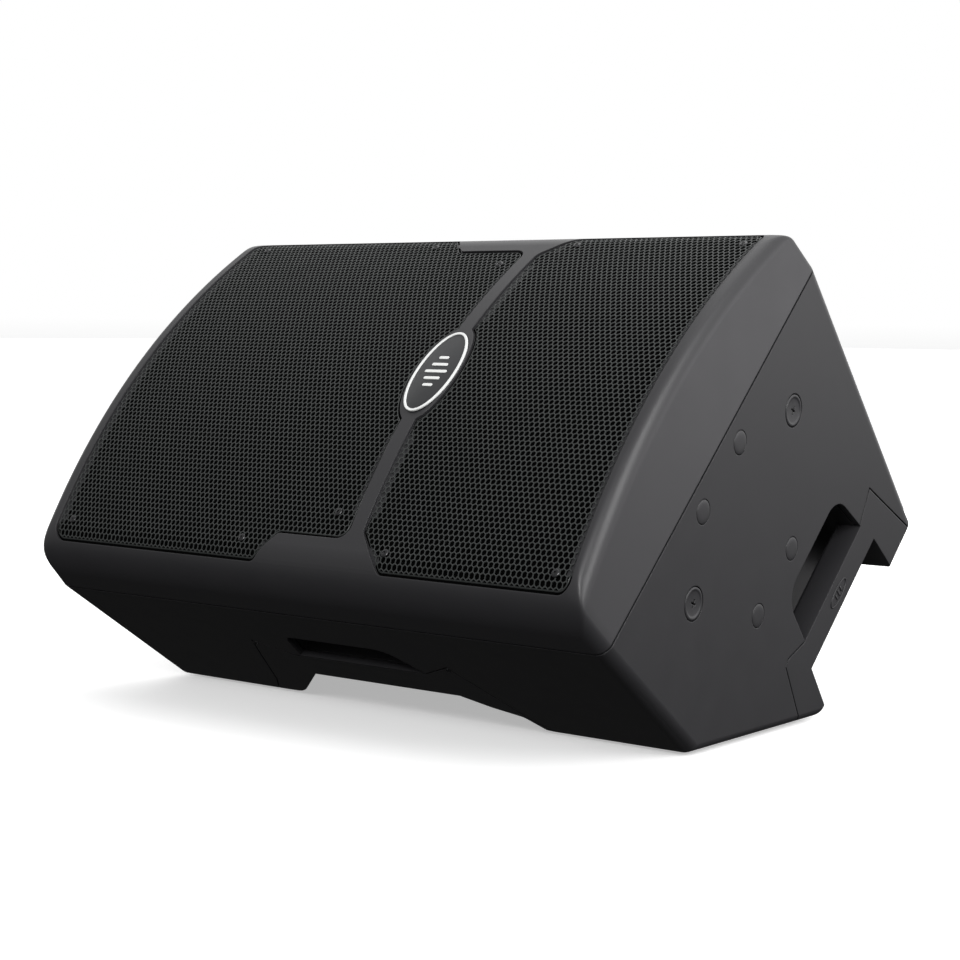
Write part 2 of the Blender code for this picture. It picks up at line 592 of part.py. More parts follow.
def build_front(cabinet):
    """Front moulding, its gasket, the grilles with their foam, and the badge."""
    front = pillow("front_baffle", 0.0, SEAM / 2, cabinet, "cabinet_plastic")
    hollow = pillow("front_hollow", SKIN, -0.01, cabinet)
    outlines = {"woofer": woofer_grille_outline(), "horn": horn_grille_outline()}
    for part, outline in outlines.items():
        wall = grown(outline, SKIN - LEDGE)
        boolean(hollow, prism(f"{part}_well_wall", wall, "XY", DECK_BACK, 0.2, cabinet))
    boolean(front, hollow)
    for part, outline in outlines.items():
        window = grown(outline, -LEDGE)
        boolean(front, prism(f"{part}_window", window, "XY", DECK_FRONT, 0.2, cabinet))
        seat = curved_slab(
            f"{part}_grille_seat",
            grown(outline, REVEAL),
            lambda v: surface_height(v) - GRILLE_SINK - SHEET - GAP,
            lambda v: surface_height(v) + 0.02,
            cabinet,
        )
        boolean(front, seat)
        curved_slab(
            f"{part}_grille",
            outline,
            lambda v: surface_height(v) - GRILLE_SINK - SHEET,
            lambda v: surface_height(v) - GRILLE_SINK,
            cabinet,
            "grille_steel",
        )
        curved_slab(
            f"{part}_grille_foam",
            grown(outline, -LEDGE - 0.0006),
            lambda v: surface_height(v) - GRILLE_SINK - SHEET - GAP - FOAM,
            lambda v: surface_height(v) - GRILLE_SINK - SHEET - GAP,
            cabinet,
            "foam",
        )

    # openings in the deck behind the windows
    deck = empty("woofer_axis", cabinet, (WOOFER_X, 0, DECK_FRONT))
    boolean(front, rod("woofer_hole", WOOFER_HOLE, -0.03, 0.005, deck, steps=24))
    boolean(front, rod("flange_room", WOOFER_FLANGE + 0.0015, GAP / 2, 0.0085, deck, steps=24))
    half_x, half_v = HORN_MOUTH
    deck_hole(front, "horn_hole", 0, half_x + 0.0005, half_v + 0.0005)
    half_x, half_v = PORT_HALF
    for name, v in (("port_hole_low", -PORT_V), ("port_hole_high", PORT_V)):
        deck_hole(front, name, v, half_x + 0.0035, half_v + 0.0035)

    # badge: an oval plate let into the widening of the strip
    steps = 24
    turns = [math.tau * i / steps for i in range(steps)]
    oval = [(STRIP_X + BADGE[0] * math.cos(t), BADGE[1] * math.sin(t)) for t in turns]
    seat_height = front_height(0) - 0.0016
    boolean(front, prism("badge_seat", grown(oval, 0.0004), "XY", seat_height, 0.2, cabinet))
    face_height = front_height(0) + 0.0012
    plate = prism("badge", oval, "XY", seat_height + GAP, face_height, cabinet, "badge_silver")
    soften(plate, 0.0006, 1)

    # gasket in the seam, set back from the outside so the joint reads as a groove
    outer = [(x, v) for x, v, _, _ in half_ring(HALF_L - 0.0016, HALF_W - 0.0016, 0.010, 3, 1)]
    inner = [(x, v) for x, v, _, _ in half_ring(HALF_L - 0.0052, HALF_W - 0.0052, 0.007, 3, 1)]
    low, high = -SEAM / 2 + 0.0003, SEAM / 2 - 0.0003
    rings = []
    for line, height in ((outer, low), (outer, high), (inner, high), (inner, low)):
        right = [Vector((x, v, height)) for x, v in line]
        rings.append(right + [Vector((-p.x, p.y, p.z)) for p in reversed(right)])
    bm = bmesh.new()
    ring_faces(bm, rings, closed=True)
    object_of("seam_gasket", bm, cabinet, "rubber")


def deck_hole(front, name, v, half_x, half_v):
    """A rectangular hole in the deck under the horn's grille."""
    low = (HORN_X - half_x, v - half_v, 0)
    boolean(front, block(name, low, (HORN_X + half_x, v + half_v, 0.025), front.parent))


# ---- woofer ------------------------------------------------------------------------------------
def build_woofer(cabinet):
    """A 15 inch driver on its axis. Heights are from the front of the deck."""
    axis = bpy.data.objects["woofer_axis"]
    basket = [(0.166, 0.0055), (0.163, -0.010), (0.094, -0.066), (0.080, -0.066), (0.080, -0.090)]
    basket += [(0.041, -0.090), (0.041, -0.094), (0.084, -0.094), (0.084, -0.070), (0.0985, -0.070)]
    basket += [(0.168, -0.014), (0.1745, -0.010), (0.1745, GAP)]
    basket += [(WOOFER_FLANGE, GAP), (WOOFER_FLANGE, 0.0055)]
    frame = lathe("woofer_basket", basket, axis, "cast_frame")
    for i in range(6):
        span = [(0.096, -0.016), (0.20, -0.062), (0.20, 0.062), (0.096, 0.016)]
        turn = (0, 0, math.tau * i / 6)
        boolean(frame, prism(f"basket_gap_{i}", span, "XY", -0.0635, -0.0165, axis, rotation=turn))
    washer("woofer_top_plate", 0.0398, 0.078, -0.1025, -0.0944, axis, "zinc")
    washer("woofer_magnet", 0.050, 0.088, -0.1240, -0.1029, axis, "ferrite")
    yoke = [(0, -0.135), (0.078, -0.135), (0.084, -0.131), (0.084, -0.1244)]
    yoke += [(0.037, -0.1244), (0.037, -0.094), (0, -0.094)]
    lathe("woofer_back_plate", yoke, axis, "zinc")

    moving = empty("cone_axis", axis)
    washer("woofer_voice_coil", 0.0380, 0.0388, -0.113, -0.0535, moving, "copper")
    cone = [(0.0393, -0.0530), (0.060, -0.0400), (0.095, -0.0235), (0.128, -0.0105)]
    cone += [(0.1455, -0.0042), (0.1515, -0.0041)]
    back = [(r, z - 0.0013) for r, z in reversed(cone)]
    lathe("woofer_cone", cone + back, moving, "paper")
    turns = [math.pi / 10 * k for k in range(6)]
    dome = [(0.046 * math.sin(t), -0.0475 + 0.019 * math.cos(t)) for t in turns]
    shell = [(r * 0.975, z - 0.0009) for r, z in dome]
    lathe("woofer_dust_cap", dome + shell[:0:-1] + [(0, shell[0][1])], moving, "paper")

    def roll(lip_in, lip_out, half, height, steps=6):
        points = []
        for k in range(steps + 1):
            t = math.pi * k / steps
            rise = lip_in + (lip_out - lip_in) * k / steps
            points.append((0.1605 - half * math.cos(t), rise + height * math.sin(t)))
        return points

    outside = [(0.1460, -0.0027)] + roll(-0.0027, 0.0068, 0.0085, 0.0090) + [(0.1785, 0.0068)]
    inside = [(0.1460, -0.0036)] + roll(-0.0036, 0.0059, 0.0076, 0.0082) + [(0.1785, 0.0059)]
    lathe("woofer_surround", outside + inside[::-1], axis, "treated_cloth")

    def ripple(lift, steps=6):
        points = [(0.0925, -0.0656 + lift), (0.0815, -0.0656 + lift)]
        for k in range(1, steps):
            wave = 0.0018 * (k % 2)
            points.append((0.0815 - 0.0422 * k / steps, -0.0656 + lift + wave))
        return points + [(0.0393, -0.0656 + lift)]

    lathe("woofer_spider", ripple(0.0008) + ripple(0.0)[::-1], axis, "treated_cloth")


# ---- horn, driver and ports --------------------------------------------------------------------
def flare_ring(half_x, half_v, squareness, height, steps=24):
    """A ring that goes from round (squareness 2) to nearly rectangular."""
    points = []
    for i in range(steps):
        t = math.tau * (i + 0.5) / steps
        c, s = math.cos(t), math.sin(t)
        x = half_x * math.copysign(abs(c) ** (2 / squareness), c)
        v = half_v * math.copysign(abs(s) ** (2 / squareness), s)
        points.append(Vector((x, v, height)))
    return points


def build_horn(cabinet):
    axis = empty("horn_axis", cabinet, (HORN_X, 0, DECK_FRONT))
    throat, depth, steps = 0.0127, 0.105, 6
    inside, outside = [], []
    for k in range(steps + 1):
        share = k / steps
        swell = share**1.7
        half_x = throat + (HORN_MOUTH[0] - 0.006 - throat) * swell
        half_v = throat + (HORN_MOUTH[1] - 0.006 - throat) * swell
        square = 2 + 4.5 * share
        height = -depth + (depth + 0.004) * share
        inside.append(flare_ring(half_x, half_v, square, height))
        outside.append(flare_ring(half_x + 0.003, half_v + 0.003, square, height - 0.001))
    rim_low = flare_ring(HORN_MOUTH[0] + 0.007, HORN_MOUTH[1] + 0.007, 9, GAP)
    rim_high = flare_ring(HORN_MOUTH[0] + 0.007, HORN_MOUTH[1] + 0.007, 9, 0.004)
    neck = flare_ring(HORN_MOUTH[0] - 0.003, HORN_MOUTH[1] - 0.003, 6.5, GAP)
    bm = bmesh.new()
    ring_faces(bm, inside[::-1] + outside[:-1] + [neck, rim_low, rim_high], closed=True)
    object_of("horn_flare", bm, axis, "horn_plastic", smooth=40)
    top = -depth - 0.001 - GAP
    washer("driver_front_plate", throat, 0.044, top - 0.010, top, axis, "zinc", steps=16)
    low = top - 0.010 - GAP
    washer("driver_magnet", 0.018, 0.047, low - 0.022, low, axis, "ferrite", steps=16)
    low -= 0.022 + GAP
    cap = [(0, low), (0.040, low), (0.040, low - 0.010), (0.034, low - 0.016), (0, low - 0.016)]
    lathe("driver_rear_cap", cap, axis, "connector", steps=20)

    for name, side in (("port_tube_low", -1), ("port_tube_high", 1)):
        x, v = PORT_HALF
        inner = rounded([(-x, -v, 0.014), (x, -v, 0.014), (x, v, 0.014), (-x, v, 0.014)])
        wall, lip = grown(inner, 0.0028), grown(inner, 0.0085)
        mouth = grown(inner, 0.0020)
        low, high = -0.115, 0.003
        rings = [(inner, low), (inner, -0.004), (mouth, high), (lip, high)]
        rings += [(lip, GAP), (wall, GAP), (wall, low)]
        bm = bmesh.new()
        ring_faces(bm, [[Vector((a, b, z)) for a, b in line] for line, z in rings], closed=True)
        object_of(name, bm, axis, "horn_plastic", location=(0, side * PORT_V, 0), smooth=35)


# ---- rear panel --------------------------------------------------------------------------------
COMBO_JACKS = ((-0.085, -0.052), (-0.085, -0.004))
LINK_JACK = (-0.085, 0.044)
GAIN_KNOBS = ((-0.038, -0.052), (-0.038, -0.004))
ENCODER = (0.022, 0.046)
DISPLAY = (0.024, -0.028)
BUTTONS = ((-0.020, 0.034), (-0.020, 0.058))
INLET = (-0.165, -0.030)
SWITCH = (-0.165, 0.045)
HEAT_SINK = (0.058, 0.205, 0.080)  # from, to, half width


def build_panel(cabinet):
    """The amplifier's panel and everything on it. Places are (up, right) as seen from behind."""
    frame = empty("panel", cabinet, (PANEL_X, PANEL_V, -PANEL_FACE), (math.pi, 0, 0))
    half_a, half_b = PANEL_SIZE[0] / 2, PANEL_SIZE[1] / 2
    low = (-half_a, -half_b, -PANEL_THICK)
    plate = block("amp_panel", low, (half_a, half_b, 0), frame, "panel_metal")
    soften(plate, 0.0004, 1)

    def at(place, z=0.0):
        return (place[0], -place[1], z)

    def opening(name, half_x, half_y, place):
        corners = (-half_x, -half_y, -0.01), (half_x, half_y, 0.01)
        boolean(plate, block(name, *corners, frame, location=at(place)))

    def round_opening(name, radius, place):
        boolean(plate, rod(name, radius, -0.01, 0.01, frame, steps=24, location=at(place)))

    low, high, half = HEAT_SINK
    sink = [(-half, GAP), (half, GAP), (half, 0.004)]
    fins = 13
    pitch = 2 * half / fins
    for k in range(fins):
        right = half - pitch * (k + 0.25)
        left = right - pitch * 0.35
        sink += [(right, 0.004), (right, 0.018), (left, 0.018), (left, 0.004)]
    prism("heat_sink", sink + [(-half, 0.004)], "YZ", low, high, frame, "heat_sink")

    for i, place in enumerate(COMBO_JACKS, 1):
        round_opening(f"jack_{i}_hole", 0.0124, place)
        opening(f"latch_{i}_hole", 0.0042, 0.0052, (place[0] + 0.0105, place[1]))
        jack = combo_jack(f"input_jack_{i}", frame, at(place))
        corners = (0.0088, -0.0042, -0.02), (0.0136, 0.0042, 0.01)
        boolean(jack, block(f"latch_slot_{i}", *corners, frame, location=at(place)))
        slider = empty(f"latch_{i}_slide", frame, at((place[0] + 0.0112, place[1])))
        corners = (-0.0020, -0.0038, -0.0040), (0.0020, 0.0038, 0.0042)
        tab = block(f"jack_latch_{i}", *corners, slider, "latch_red")
        soften(tab, 0.0005, 1)

    round_opening("link_hole", 0.0124, LINK_JACK)
    male_jack("link_jack", frame, at(LINK_JACK))

    opening("inlet_hole", 0.0104, 0.0140, INLET)
    mains_inlet("mains_inlet", frame, at(INLET))

    opening("switch_hole", 0.0139, 0.0109, SWITCH)
    build_switch(frame, at(SWITCH))

    for i, place in enumerate(GAIN_KNOBS, 1):
        round_opening(f"gain_{i}_hole", 0.0036, place)
        turner = empty(f"gain_{i}_axis", frame, at(place))
        knob(f"gain_knob_{i}", turner, 0.0085, 0.0130, 0.0032)

    round_opening("encoder_hole", 0.0042, ENCODER)
    shaft = empty("encoder_push", frame, at(ENCODER))
    stem = [(0, -0.012), (0.0038, -0.012), (0.0038, 0.0018), (0.0030, 0.0018)]
    lathe("encoder_shaft", stem + [(0.0030, 0.0095), (0, 0.0095)], shaft, "zinc")
    dial = empty("encoder_turn", shaft)
    cap = [(0, 0.0160), (0.0100, 0.0160), (0.0112, 0.0148), (0.0118, 0.0036)]
    cap += [(0.0034, 0.0036), (0.0034, 0.0100), (0, 0.0100)]
    lathe("encoder_knob", cap, dial, "knob")

    opening("display_hole", 0.0150, 0.0310, DISPLAY)
    corners = (-0.0146, -0.0306, -0.0022), (0.0146, 0.0306, 0.0003)
    window = block("display_window", *corners, frame, "display", location=at(DISPLAY))
    soften(window, 0.0005, 1)
    for i, place in enumerate(BUTTONS, 1):
        opening(f"button_{i}_hole", 0.0037, 0.0062, place)
        slider = empty(f"button_{i}_slide", frame, at(place))
        corners = (-0.0033, -0.0058, -0.0060), (0.0033, 0.0058, 0.0036)
        key = block(f"mode_button_{i}", *corners, slider, "knob")
        soften(key, 0.0006, 1)

    build_boards(frame)


def flange(name, frame, place):
    """The square flange that connectors and the switch share."""
    corners = (-0.0155, -0.0130, GAP), (0.0155, 0.0130, 0.0026)
    return soften(block(name, *corners, frame, "connector", location=place), 0.0012, 2)


def combo_jack(name, frame, place):
    """A combined XLR and quarter inch socket: square flange, round shell behind, bored face."""
    jack = flange(name, frame, place)
    shell = rod(f"{name}_shell", 0.0119, -0.024, 0.0015, frame, steps=20, location=place)
    boolean(jack, shell, "UNION")
    bore = rod(f"{name}_bore", 0.0092, -0.016, 0.01, frame, steps=20, location=place)
    core = rod(f"{name}_core", 0.0060, -0.03, 0.0006, frame, steps=20, location=place)
    throat = rod(f"{name}_throat", 0.0033, -0.014, 0.01, frame, steps=16, location=place)
    boolean(jack, bore)
    boolean(jack, core, "UNION")
    return boolean(jack, throat)


def male_jack(name, frame, place):
    """A male XLR output: square flange, round cup and three pins."""
    jack = flange(name, frame, place)
    shell = rod(f"{name}_shell", 0.0119, -0.024, 0.0015, frame, steps=20, location=place)
    boolean(jack, shell, "UNION")
    boolean(jack, rod(f"{name}_cup", 0.0100, -0.014, 0.01, frame, steps=20, location=place))
    for k in range(3):
        turn = math.pi / 2 + math.tau * k / 3
        spot = (place[0] + 0.0052 * math.sin(turn), place[1] + 0.0052 * math.cos(turn), 0)
        pin = rod(f"{name}_pin_{k}", 0.0012, -0.016, -0.002, frame, steps=12, location=spot)
        boolean(jack, pin, "UNION")
    return jack


def mains_inlet(name, frame, place):
    """A three-pin mains inlet with two chamfered corners in its mouth."""
    corners = (-0.0125, -0.0220, GAP), (0.0125, 0.0220, 0.0028)
    inlet = soften(block(name, *corners, frame, "connector", location=place), 0.0025, 2)
    corners = (-0.0100, -0.0136, -0.022), (0.0100, 0.0136, 0.0015)
    boolean(inlet, block(f"{name}_shell", *corners, frame, location=place), "UNION")
    mouth = [(-0.0078, -0.0115), (0.0045, -0.0115), (0.0078, -0.0080)]
    mouth += [(0.0078, 0.0080), (0.0045, 0.0115), (-0.0078, 0.0115)]
    boolean(inlet, prism(f"{name}_mouth", mouth, "XY", -0.017, 0.01, frame, location=place))
    for k, (a, b) in enumerate(((-0.002, -0.007), (0.002, 0.0), (-0.002, 0.007))):
        low, high = (a - 0.0020, b - 0.0010, -0.019), (a + 0.0020, b + 0.0010, -0.003)
        boolean(inlet, block(f"{name}_blade_{k}", low, high, frame, location=place), "UNION")
    return inlet


ROCKER_TILT = math.radians(10)


def build_switch(frame, place):
    """A rocker in its bezel. At rest its upper end stands out; it tips the other way when switched."""
    bezel = flange("switch_bezel", frame, place)
    corners = (-0.0135, -0.0105, -0.018), (0.0135, 0.0105, 0.0015)
    boolean(bezel, block("switch_shell", *corners, frame, location=place), "UNION")
    corners = (-0.0122, -0.0086, -0.015), (0.0122, 0.0086, 0.01)
    boolean(bezel, block("switch_well", *corners, frame, location=place))
    pivot = empty("rocker_pivot", frame, (place[0], place[1], -0.0040), (0, ROCKER_TILT, 0))
    half = 0.0108
    face = [(half * (1 - k / 4), 0.0066 + 0.0022 * (1 - k / 4) ** 2) for k in range(9)]
    section = [(-half, -0.0010), (-0.0040, -0.0050), (0.0040, -0.0050), (half, -0.0010)] + face
    rocker = prism("switch_rocker", section, "XZ", -0.0081, 0.0081, pivot, "knob")
    soften(rocker, 0.0004, 1)


def knob(name, turner, radius, height, shaft):
    """A fluted knob with a pointer, and its shaft through the panel."""
    points = []
    flutes, per_flute = 12, 4
    for k in range(flutes * per_flute):
        dip = 0.0006 if k % per_flute == 0 else 0.0
        turn = math.tau * k / (flutes * per_flute)
        points.append(((radius - dip) * math.cos(turn), (radius - dip) * math.sin(turn)))
    made = prism(name, points, "XY", 0.0010, height, turner, "knob")
    boolean(made, rod(f"{name}_shaft", shaft, -0.010, 0.005, turner, steps=16), "UNION")
    corners = (0.0020, -0.0005, height - 0.0006), (radius + 0.002, 0.0005, height + 0.01)
    return boolean(made, block(f"{name}_line", *corners, turner))


CAPACITORS = ((0.05, 0.04, 0.015, 0.035), (0.09, 0.04, 0.015, 0.035), (0.13, 0.04, 0.010, 0.022))
COIL_BLOCKS = (
    ((0.04, -0.06, -0.050), (0.16, -0.03, -0.033)),
    ((-0.06, 0.02, -0.045), (-0.02, 0.06, -0.033)),
)


def build_boards(frame):
    """The amplifier board behind the panel, and the toroidal transformer beside it."""
    corners = (-0.190, -0.078, -0.0336), (0.190, 0.078, -0.0320)
    board = block("amp_board", *corners, frame, "board")
    for i, (a, b, r, tall) in enumerate(CAPACITORS):
        can = rod(f"capacitor_{i}", r, -0.033 - tall, -0.033, frame, steps=16, location=(a, b, 0))
        boolean(board, can, "UNION")
    for i, corners in enumerate(COIL_BLOCKS):
        boolean(board, block(f"board_part_{i}", *corners, frame), "UNION")
    half, hole, tall, cut = 0.052, 0.018, 0.040, 0.007
    low = -0.0340 - tall
    core = [(hole, low + cut), (hole + cut, low), (half - cut, low), (half, low + cut)]
    core += [(half, -0.034 - cut), (half - cut, -0.034), (hole + cut, -0.034), (hole, -0.034 - cut)]
    lathe("power_transformer", core, frame, "copper", steps=24, location=(-0.115, 0.008, 0))


# ---- internal leads ----------------------------------------------------------------------------
def smooth_route(points, per_span):
    """Points on a Catmull-Rom curve through the route's own points."""
    points = [Vector(p) for p in points]
    padded = [points[0] * 2 - points[1], *points, points[-1] * 2 - points[-2]]
    route = []
    for i in range(len(points) - 1):
        a, b, c, d = padded[i : i + 4]
        for k in range(per_span):
            t = k / per_span
            bend = (2 * a - 5 * b + 4 * c - d) * t**2 + (3 * b - a - 3 * c + d) * t**3
            route.append(b + (c - a) * t / 2 + bend / 2)
    return route + [points[-1]]


def lead(name, points, radius, parent):
    """A tube that runs on a curve from one terminal to another."""
    curve = bpy.data.curves.new(name, "CURVE")
    curve.dimensions = "3D"
    curve.bevel_depth = radius
    curve.bevel_resolution = 2
    curve.use_fill_caps = True
    route = smooth_route(points, 5)
    spline = curve.splines.new("POLY")
    spline.points.add(len(route) - 1)
    for point, place in zip(spline.points, route):
        point.co = (*place, 1)
    obj = bpy.data.objects.new(name, curve)
    bpy.context.scene.collection.objects.link(obj)
    obj.parent = parent
    return finish(obj, "wire")


def build_leads(cabinet):
    """Leads from the amplifier board to the woofer's basket and to the compression driver."""
    route = [(-0.010, 0.020, -0.2976), (-0.004, 0.014, -0.270), (0.0, -0.02, -0.200)]
    route += [(-0.010, -0.02, -0.120), (-0.030, -0.010, -0.075), (-0.0408, -0.004, -0.0640)]
    lead("woofer_lead", route, 0.0024, cabinet)
    route = [(0.146, 0.100, -0.2976), (0.147, 0.095, -0.270), (0.165, 0.050, -0.220)]
    route += [(0.200, 0.015, -0.175), (0.2155, 0.008, -0.1392)]
    lead("horn_lead", route, 0.0020, cabinet)


def main():
    clear_scene()
    y, z = seated_origin()
    cabinet = empty("cabinet", None, (0, y, z), (WEDGE_ANGLE, 0, 0))
    build_front(cabinet)
    build_body(cabinet)
    build_woofer(cabinet)
    build_horn(cabinet)
    build_panel(cabinet)
    build_leads(cabinet)


main()
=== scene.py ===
"""Looks of the stage monitor wedge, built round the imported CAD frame.

Metres, +Z up. Most meshes are drawn in the cabinet's own frame: X along its length (+X is the horn
end), Y up the baffle, Z out of the plane of the seam between front moulding and body. "Depth" is
minus that Z. CABINET turns that frame into the world's.
"""

import json
import math

import bmesh
import bpy
import numpy as np
from mathutils import Matrix, Vector

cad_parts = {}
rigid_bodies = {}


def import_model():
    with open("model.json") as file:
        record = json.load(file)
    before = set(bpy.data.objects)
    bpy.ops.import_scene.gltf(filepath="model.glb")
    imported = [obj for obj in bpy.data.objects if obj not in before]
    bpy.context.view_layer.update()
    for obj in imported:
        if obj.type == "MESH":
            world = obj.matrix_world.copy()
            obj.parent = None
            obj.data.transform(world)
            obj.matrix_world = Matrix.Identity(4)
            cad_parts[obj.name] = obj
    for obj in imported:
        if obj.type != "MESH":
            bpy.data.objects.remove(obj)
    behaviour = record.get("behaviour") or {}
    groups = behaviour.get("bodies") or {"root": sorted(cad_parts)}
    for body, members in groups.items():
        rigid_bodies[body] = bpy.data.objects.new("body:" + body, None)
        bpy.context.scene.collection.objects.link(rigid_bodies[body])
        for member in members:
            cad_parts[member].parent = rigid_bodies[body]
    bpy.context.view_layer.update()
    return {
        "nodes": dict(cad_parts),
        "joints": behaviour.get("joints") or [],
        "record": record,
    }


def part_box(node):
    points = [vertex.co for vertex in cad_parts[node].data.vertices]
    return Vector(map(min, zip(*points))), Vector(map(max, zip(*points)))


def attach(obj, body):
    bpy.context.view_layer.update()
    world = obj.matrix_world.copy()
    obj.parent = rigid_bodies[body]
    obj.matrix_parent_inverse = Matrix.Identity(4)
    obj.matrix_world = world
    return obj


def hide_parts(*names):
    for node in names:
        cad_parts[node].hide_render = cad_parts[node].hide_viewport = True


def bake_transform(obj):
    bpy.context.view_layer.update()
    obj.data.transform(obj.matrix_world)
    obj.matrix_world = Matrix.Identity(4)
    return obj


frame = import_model()

# ---- the cabinet's frame -----------------------------------------------------------------------
BAFFLE_NORMAL = Vector(next(j for j in frame["joints"] if j["name"] == "cone_travel")["axis"])
WEDGE_ANGLE = math.atan2(-BAFFLE_NORMAL.y, BAFFLE_NORMAL.z)
SEAM_MIDDLE = sum(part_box("seam_gasket"), Vector()) / 2
CABINET = Matrix.Translation(SEAM_MIDDLE) @ Matrix.Rotation(WEDGE_ANGLE, 4, "X")


def span(node):
    """Lowest and highest corner of a CAD node in the cabinet's frame."""
    back = np.array(CABINET.inverted())
    corners = np.array([v.co for v in frame["nodes"][node].data.vertices])
    local = corners @ back[:3, :3].T + back[:3, 3]
    return Vector(local.min(axis=0)), Vector(local.max(axis=0))


def middle(node):
    """Middle of a CAD node in the cabinet's frame."""
    low, high = span(node)
    return (low + high) / 2


# ---- driving dimensions, as in the CAD, with slightly wider seams so that they show ------------
LENGTH = 0.690
WIDTH = 0.454
BODY_DEPTH = 0.353
END_DRAFT = 0.0837
HIGH_SIDE_INSET = 0.010
KNEE_DEPTH = 0.180
KNEE_INSET = 0.028
WALL = 0.0055
SEAM = 0.0021
GAP = 0.0004
PANEL_SEAM = 0.0015
HALF_L, HALF_W = LENGTH / 2, WIDTH / 2
KNEE_V = -HALF_W + KNEE_INSET

FRONT_EDGE = 0.0544
FRONT_CROWN = 0.0357
END_ROUND = 0.012
END_DROP = 0.016
FRONT_DRAFT = 0.004
SIDE_ROUND = 0.034
CORNER = 0.012
SKIN = 0.005
DECK_BACK = 0.010
DECK_FRONT = 0.018

STRIP_X = 0.0778
STRIP_HALF = 0.0088
GRILLE_HALF_WIDTH = 0.209
GRILLE_LOW_X = -0.321
GRILLE_HIGH_X = 0.3264
LOBE = (0.0277, 0.060)
BADGE = (0.0248, 0.0495)
GRILLE_SINK = 0.0010
SHEET = 0.0015
LEDGE = 0.007
REVEAL = 0.0010
HOLE_PITCH = 0.00585
HOLE_WIDTH = 0.00500
RIM = 0.0007
# Width of the near-black strip round each grille, drawn as a gasket to give the painted shade of the gap
# there.
SHADE_GASKET = 0.0016

WOOFER_HOLE = 0.1775
WOOFER_FLANGE = 0.193
HORN_MOUTH = (0.092, 0.126)
PORT_V = 0.170
PORT_HALF = (0.062, 0.0170)

BAR_THICK = 0.028
TOP_DEEP = 0.055
SIDE_DEEP = 0.078
TOP_OPENING = (0.205, 0.267)
TOP_BAR = 0.299
SIDE_OPENING = (0.050, 0.0876)
SIDE_BAR = 0.1277
SIDE_HALF = 0.083

PANEL_LOW, PANEL_HIGH = span("amp_panel")
PANEL_X, PANEL_V = (PANEL_LOW.x + PANEL_HIGH.x) / 2, (PANEL_LOW.y + PANEL_HIGH.y) / 2
PANEL_FACE = -PANEL_LOW.z
PANEL_THICK = PANEL_HIGH.z - PANEL_LOW.z
PANEL_LEDGE = 0.008


def front_height(v):
    """Height of the front surface above the seam plane, v across the width."""
    return FRONT_EDGE + FRONT_CROWN * (1 - (v / HALF_W) ** 2)


def surface_height(v):
    """The front surface with the roll along its long edges."""
    inward = min(1.0, max(0.0, (HALF_W - abs(v)) / SIDE_ROUND))
    return front_height(v) - SIDE_ROUND * (1 - math.sqrt(1 - (1 - inward) ** 2))


def end_x(depth):
    """Half length of the body at a depth."""
    return HALF_L - END_DRAFT * depth


# ---- materials ---------------------------------------------------------------------------------
def procedural(
    name,
    color,
    roughness,
    metallic=0.0,
    grain=0.0006,
    depth=0.00003,
    vary=0.12,
    spread=0.06,
    patch=0.03,
    edge=0.0008,
    cells=False,
    stretch=(1, 1, 1),
    specular=0.5,
    coat=0.0,
    sheen=0.0,
    glow=None,
):
    """A material whose colour and roughness drift over patches and whose surface has a grain.

    grain, depth, patch and edge are sizes in metres; cells makes the grain of open cells, as in
    foam; stretch draws the grain out along an axis, as brushing does."""
    made = bpy.data.materials.new(name)
    made.use_nodes = True
    made.diffuse_color = (*color, 1)
    nodes, links = made.node_tree.nodes, made.node_tree.links
    shader = nodes["Principled BSDF"]
    shader.inputs["Metallic"].default_value = metallic
    shader.inputs["Specular IOR Level"].default_value = specular
    shader.inputs["Coat Weight"].default_value = coat
    shader.inputs["Sheen Weight"].default_value = sheen
    if glow:
        shader.inputs["Emission Color"].default_value = (*color, 1)
        shader.inputs["Emission Strength"].default_value = glow
    where = nodes.new("ShaderNodeTexCoord")

    patches = nodes.new("ShaderNodeTexNoise")
    patches.inputs["Scale"].default_value = 1 / patch
    patches.inputs["Detail"].default_value = 3
    links.new(where.outputs["Object"], patches.inputs["Vector"])

    tint = nodes.new("ShaderNodeMix")
    tint.data_type = "RGBA"
    tint.inputs["A"].default_value = (*[c * (1 - vary) for c in color], 1)
    tint.inputs["B"].default_value = (*[min(1.0, c * (1 + vary)) for c in color], 1)
    links.new(patches.outputs["Fac"], tint.inputs["Factor"])
    links.new(tint.outputs["Result"], shader.inputs["Base Color"])

    gloss = nodes.new("ShaderNodeMapRange")
    gloss.inputs["From Min"].default_value = 0.3
    gloss.inputs["From Max"].default_value = 0.7
    gloss.inputs["To Min"].default_value = max(0.02, roughness - spread)
    gloss.inputs["To Max"].default_value = min(1.0, roughness + spread)
    links.new(patches.outputs["Fac"], gloss.inputs["Value"])
    links.new(gloss.outputs["Result"], shader.inputs["Roughness"])

    drawn_out = nodes.new("ShaderNodeMapping")
    drawn_out.inputs["Scale"].default_value = stretch
    links.new(where.outputs["Object"], drawn_out.inputs["Vector"])
    kind = "ShaderNodeTexVoronoi" if cells else "ShaderNodeTexNoise"
    pores = nodes.new(kind)
    pores.inputs["Scale"].default_value = 1 / grain
    links.new(drawn_out.outputs["Vector"], pores.inputs["Vector"])
    bump = nodes.new("ShaderNodeBump")
    bump.inputs["Strength"].default_value = 1.0
    bump.inputs["Distance"].default_value = depth
    links.new(pores.outputs["Distance" if cells else "Fac"], bump.inputs["Height"])
    if edge:
        worn = nodes.new("ShaderNodeBevel")
        worn.samples = 4
        worn.inputs["Radius"].default_value = edge
        links.new(worn.outputs["Normal"], bump.inputs["Normal"])
    links.new(bump.outputs["Normal"], shader.inputs["Normal"])
    return made


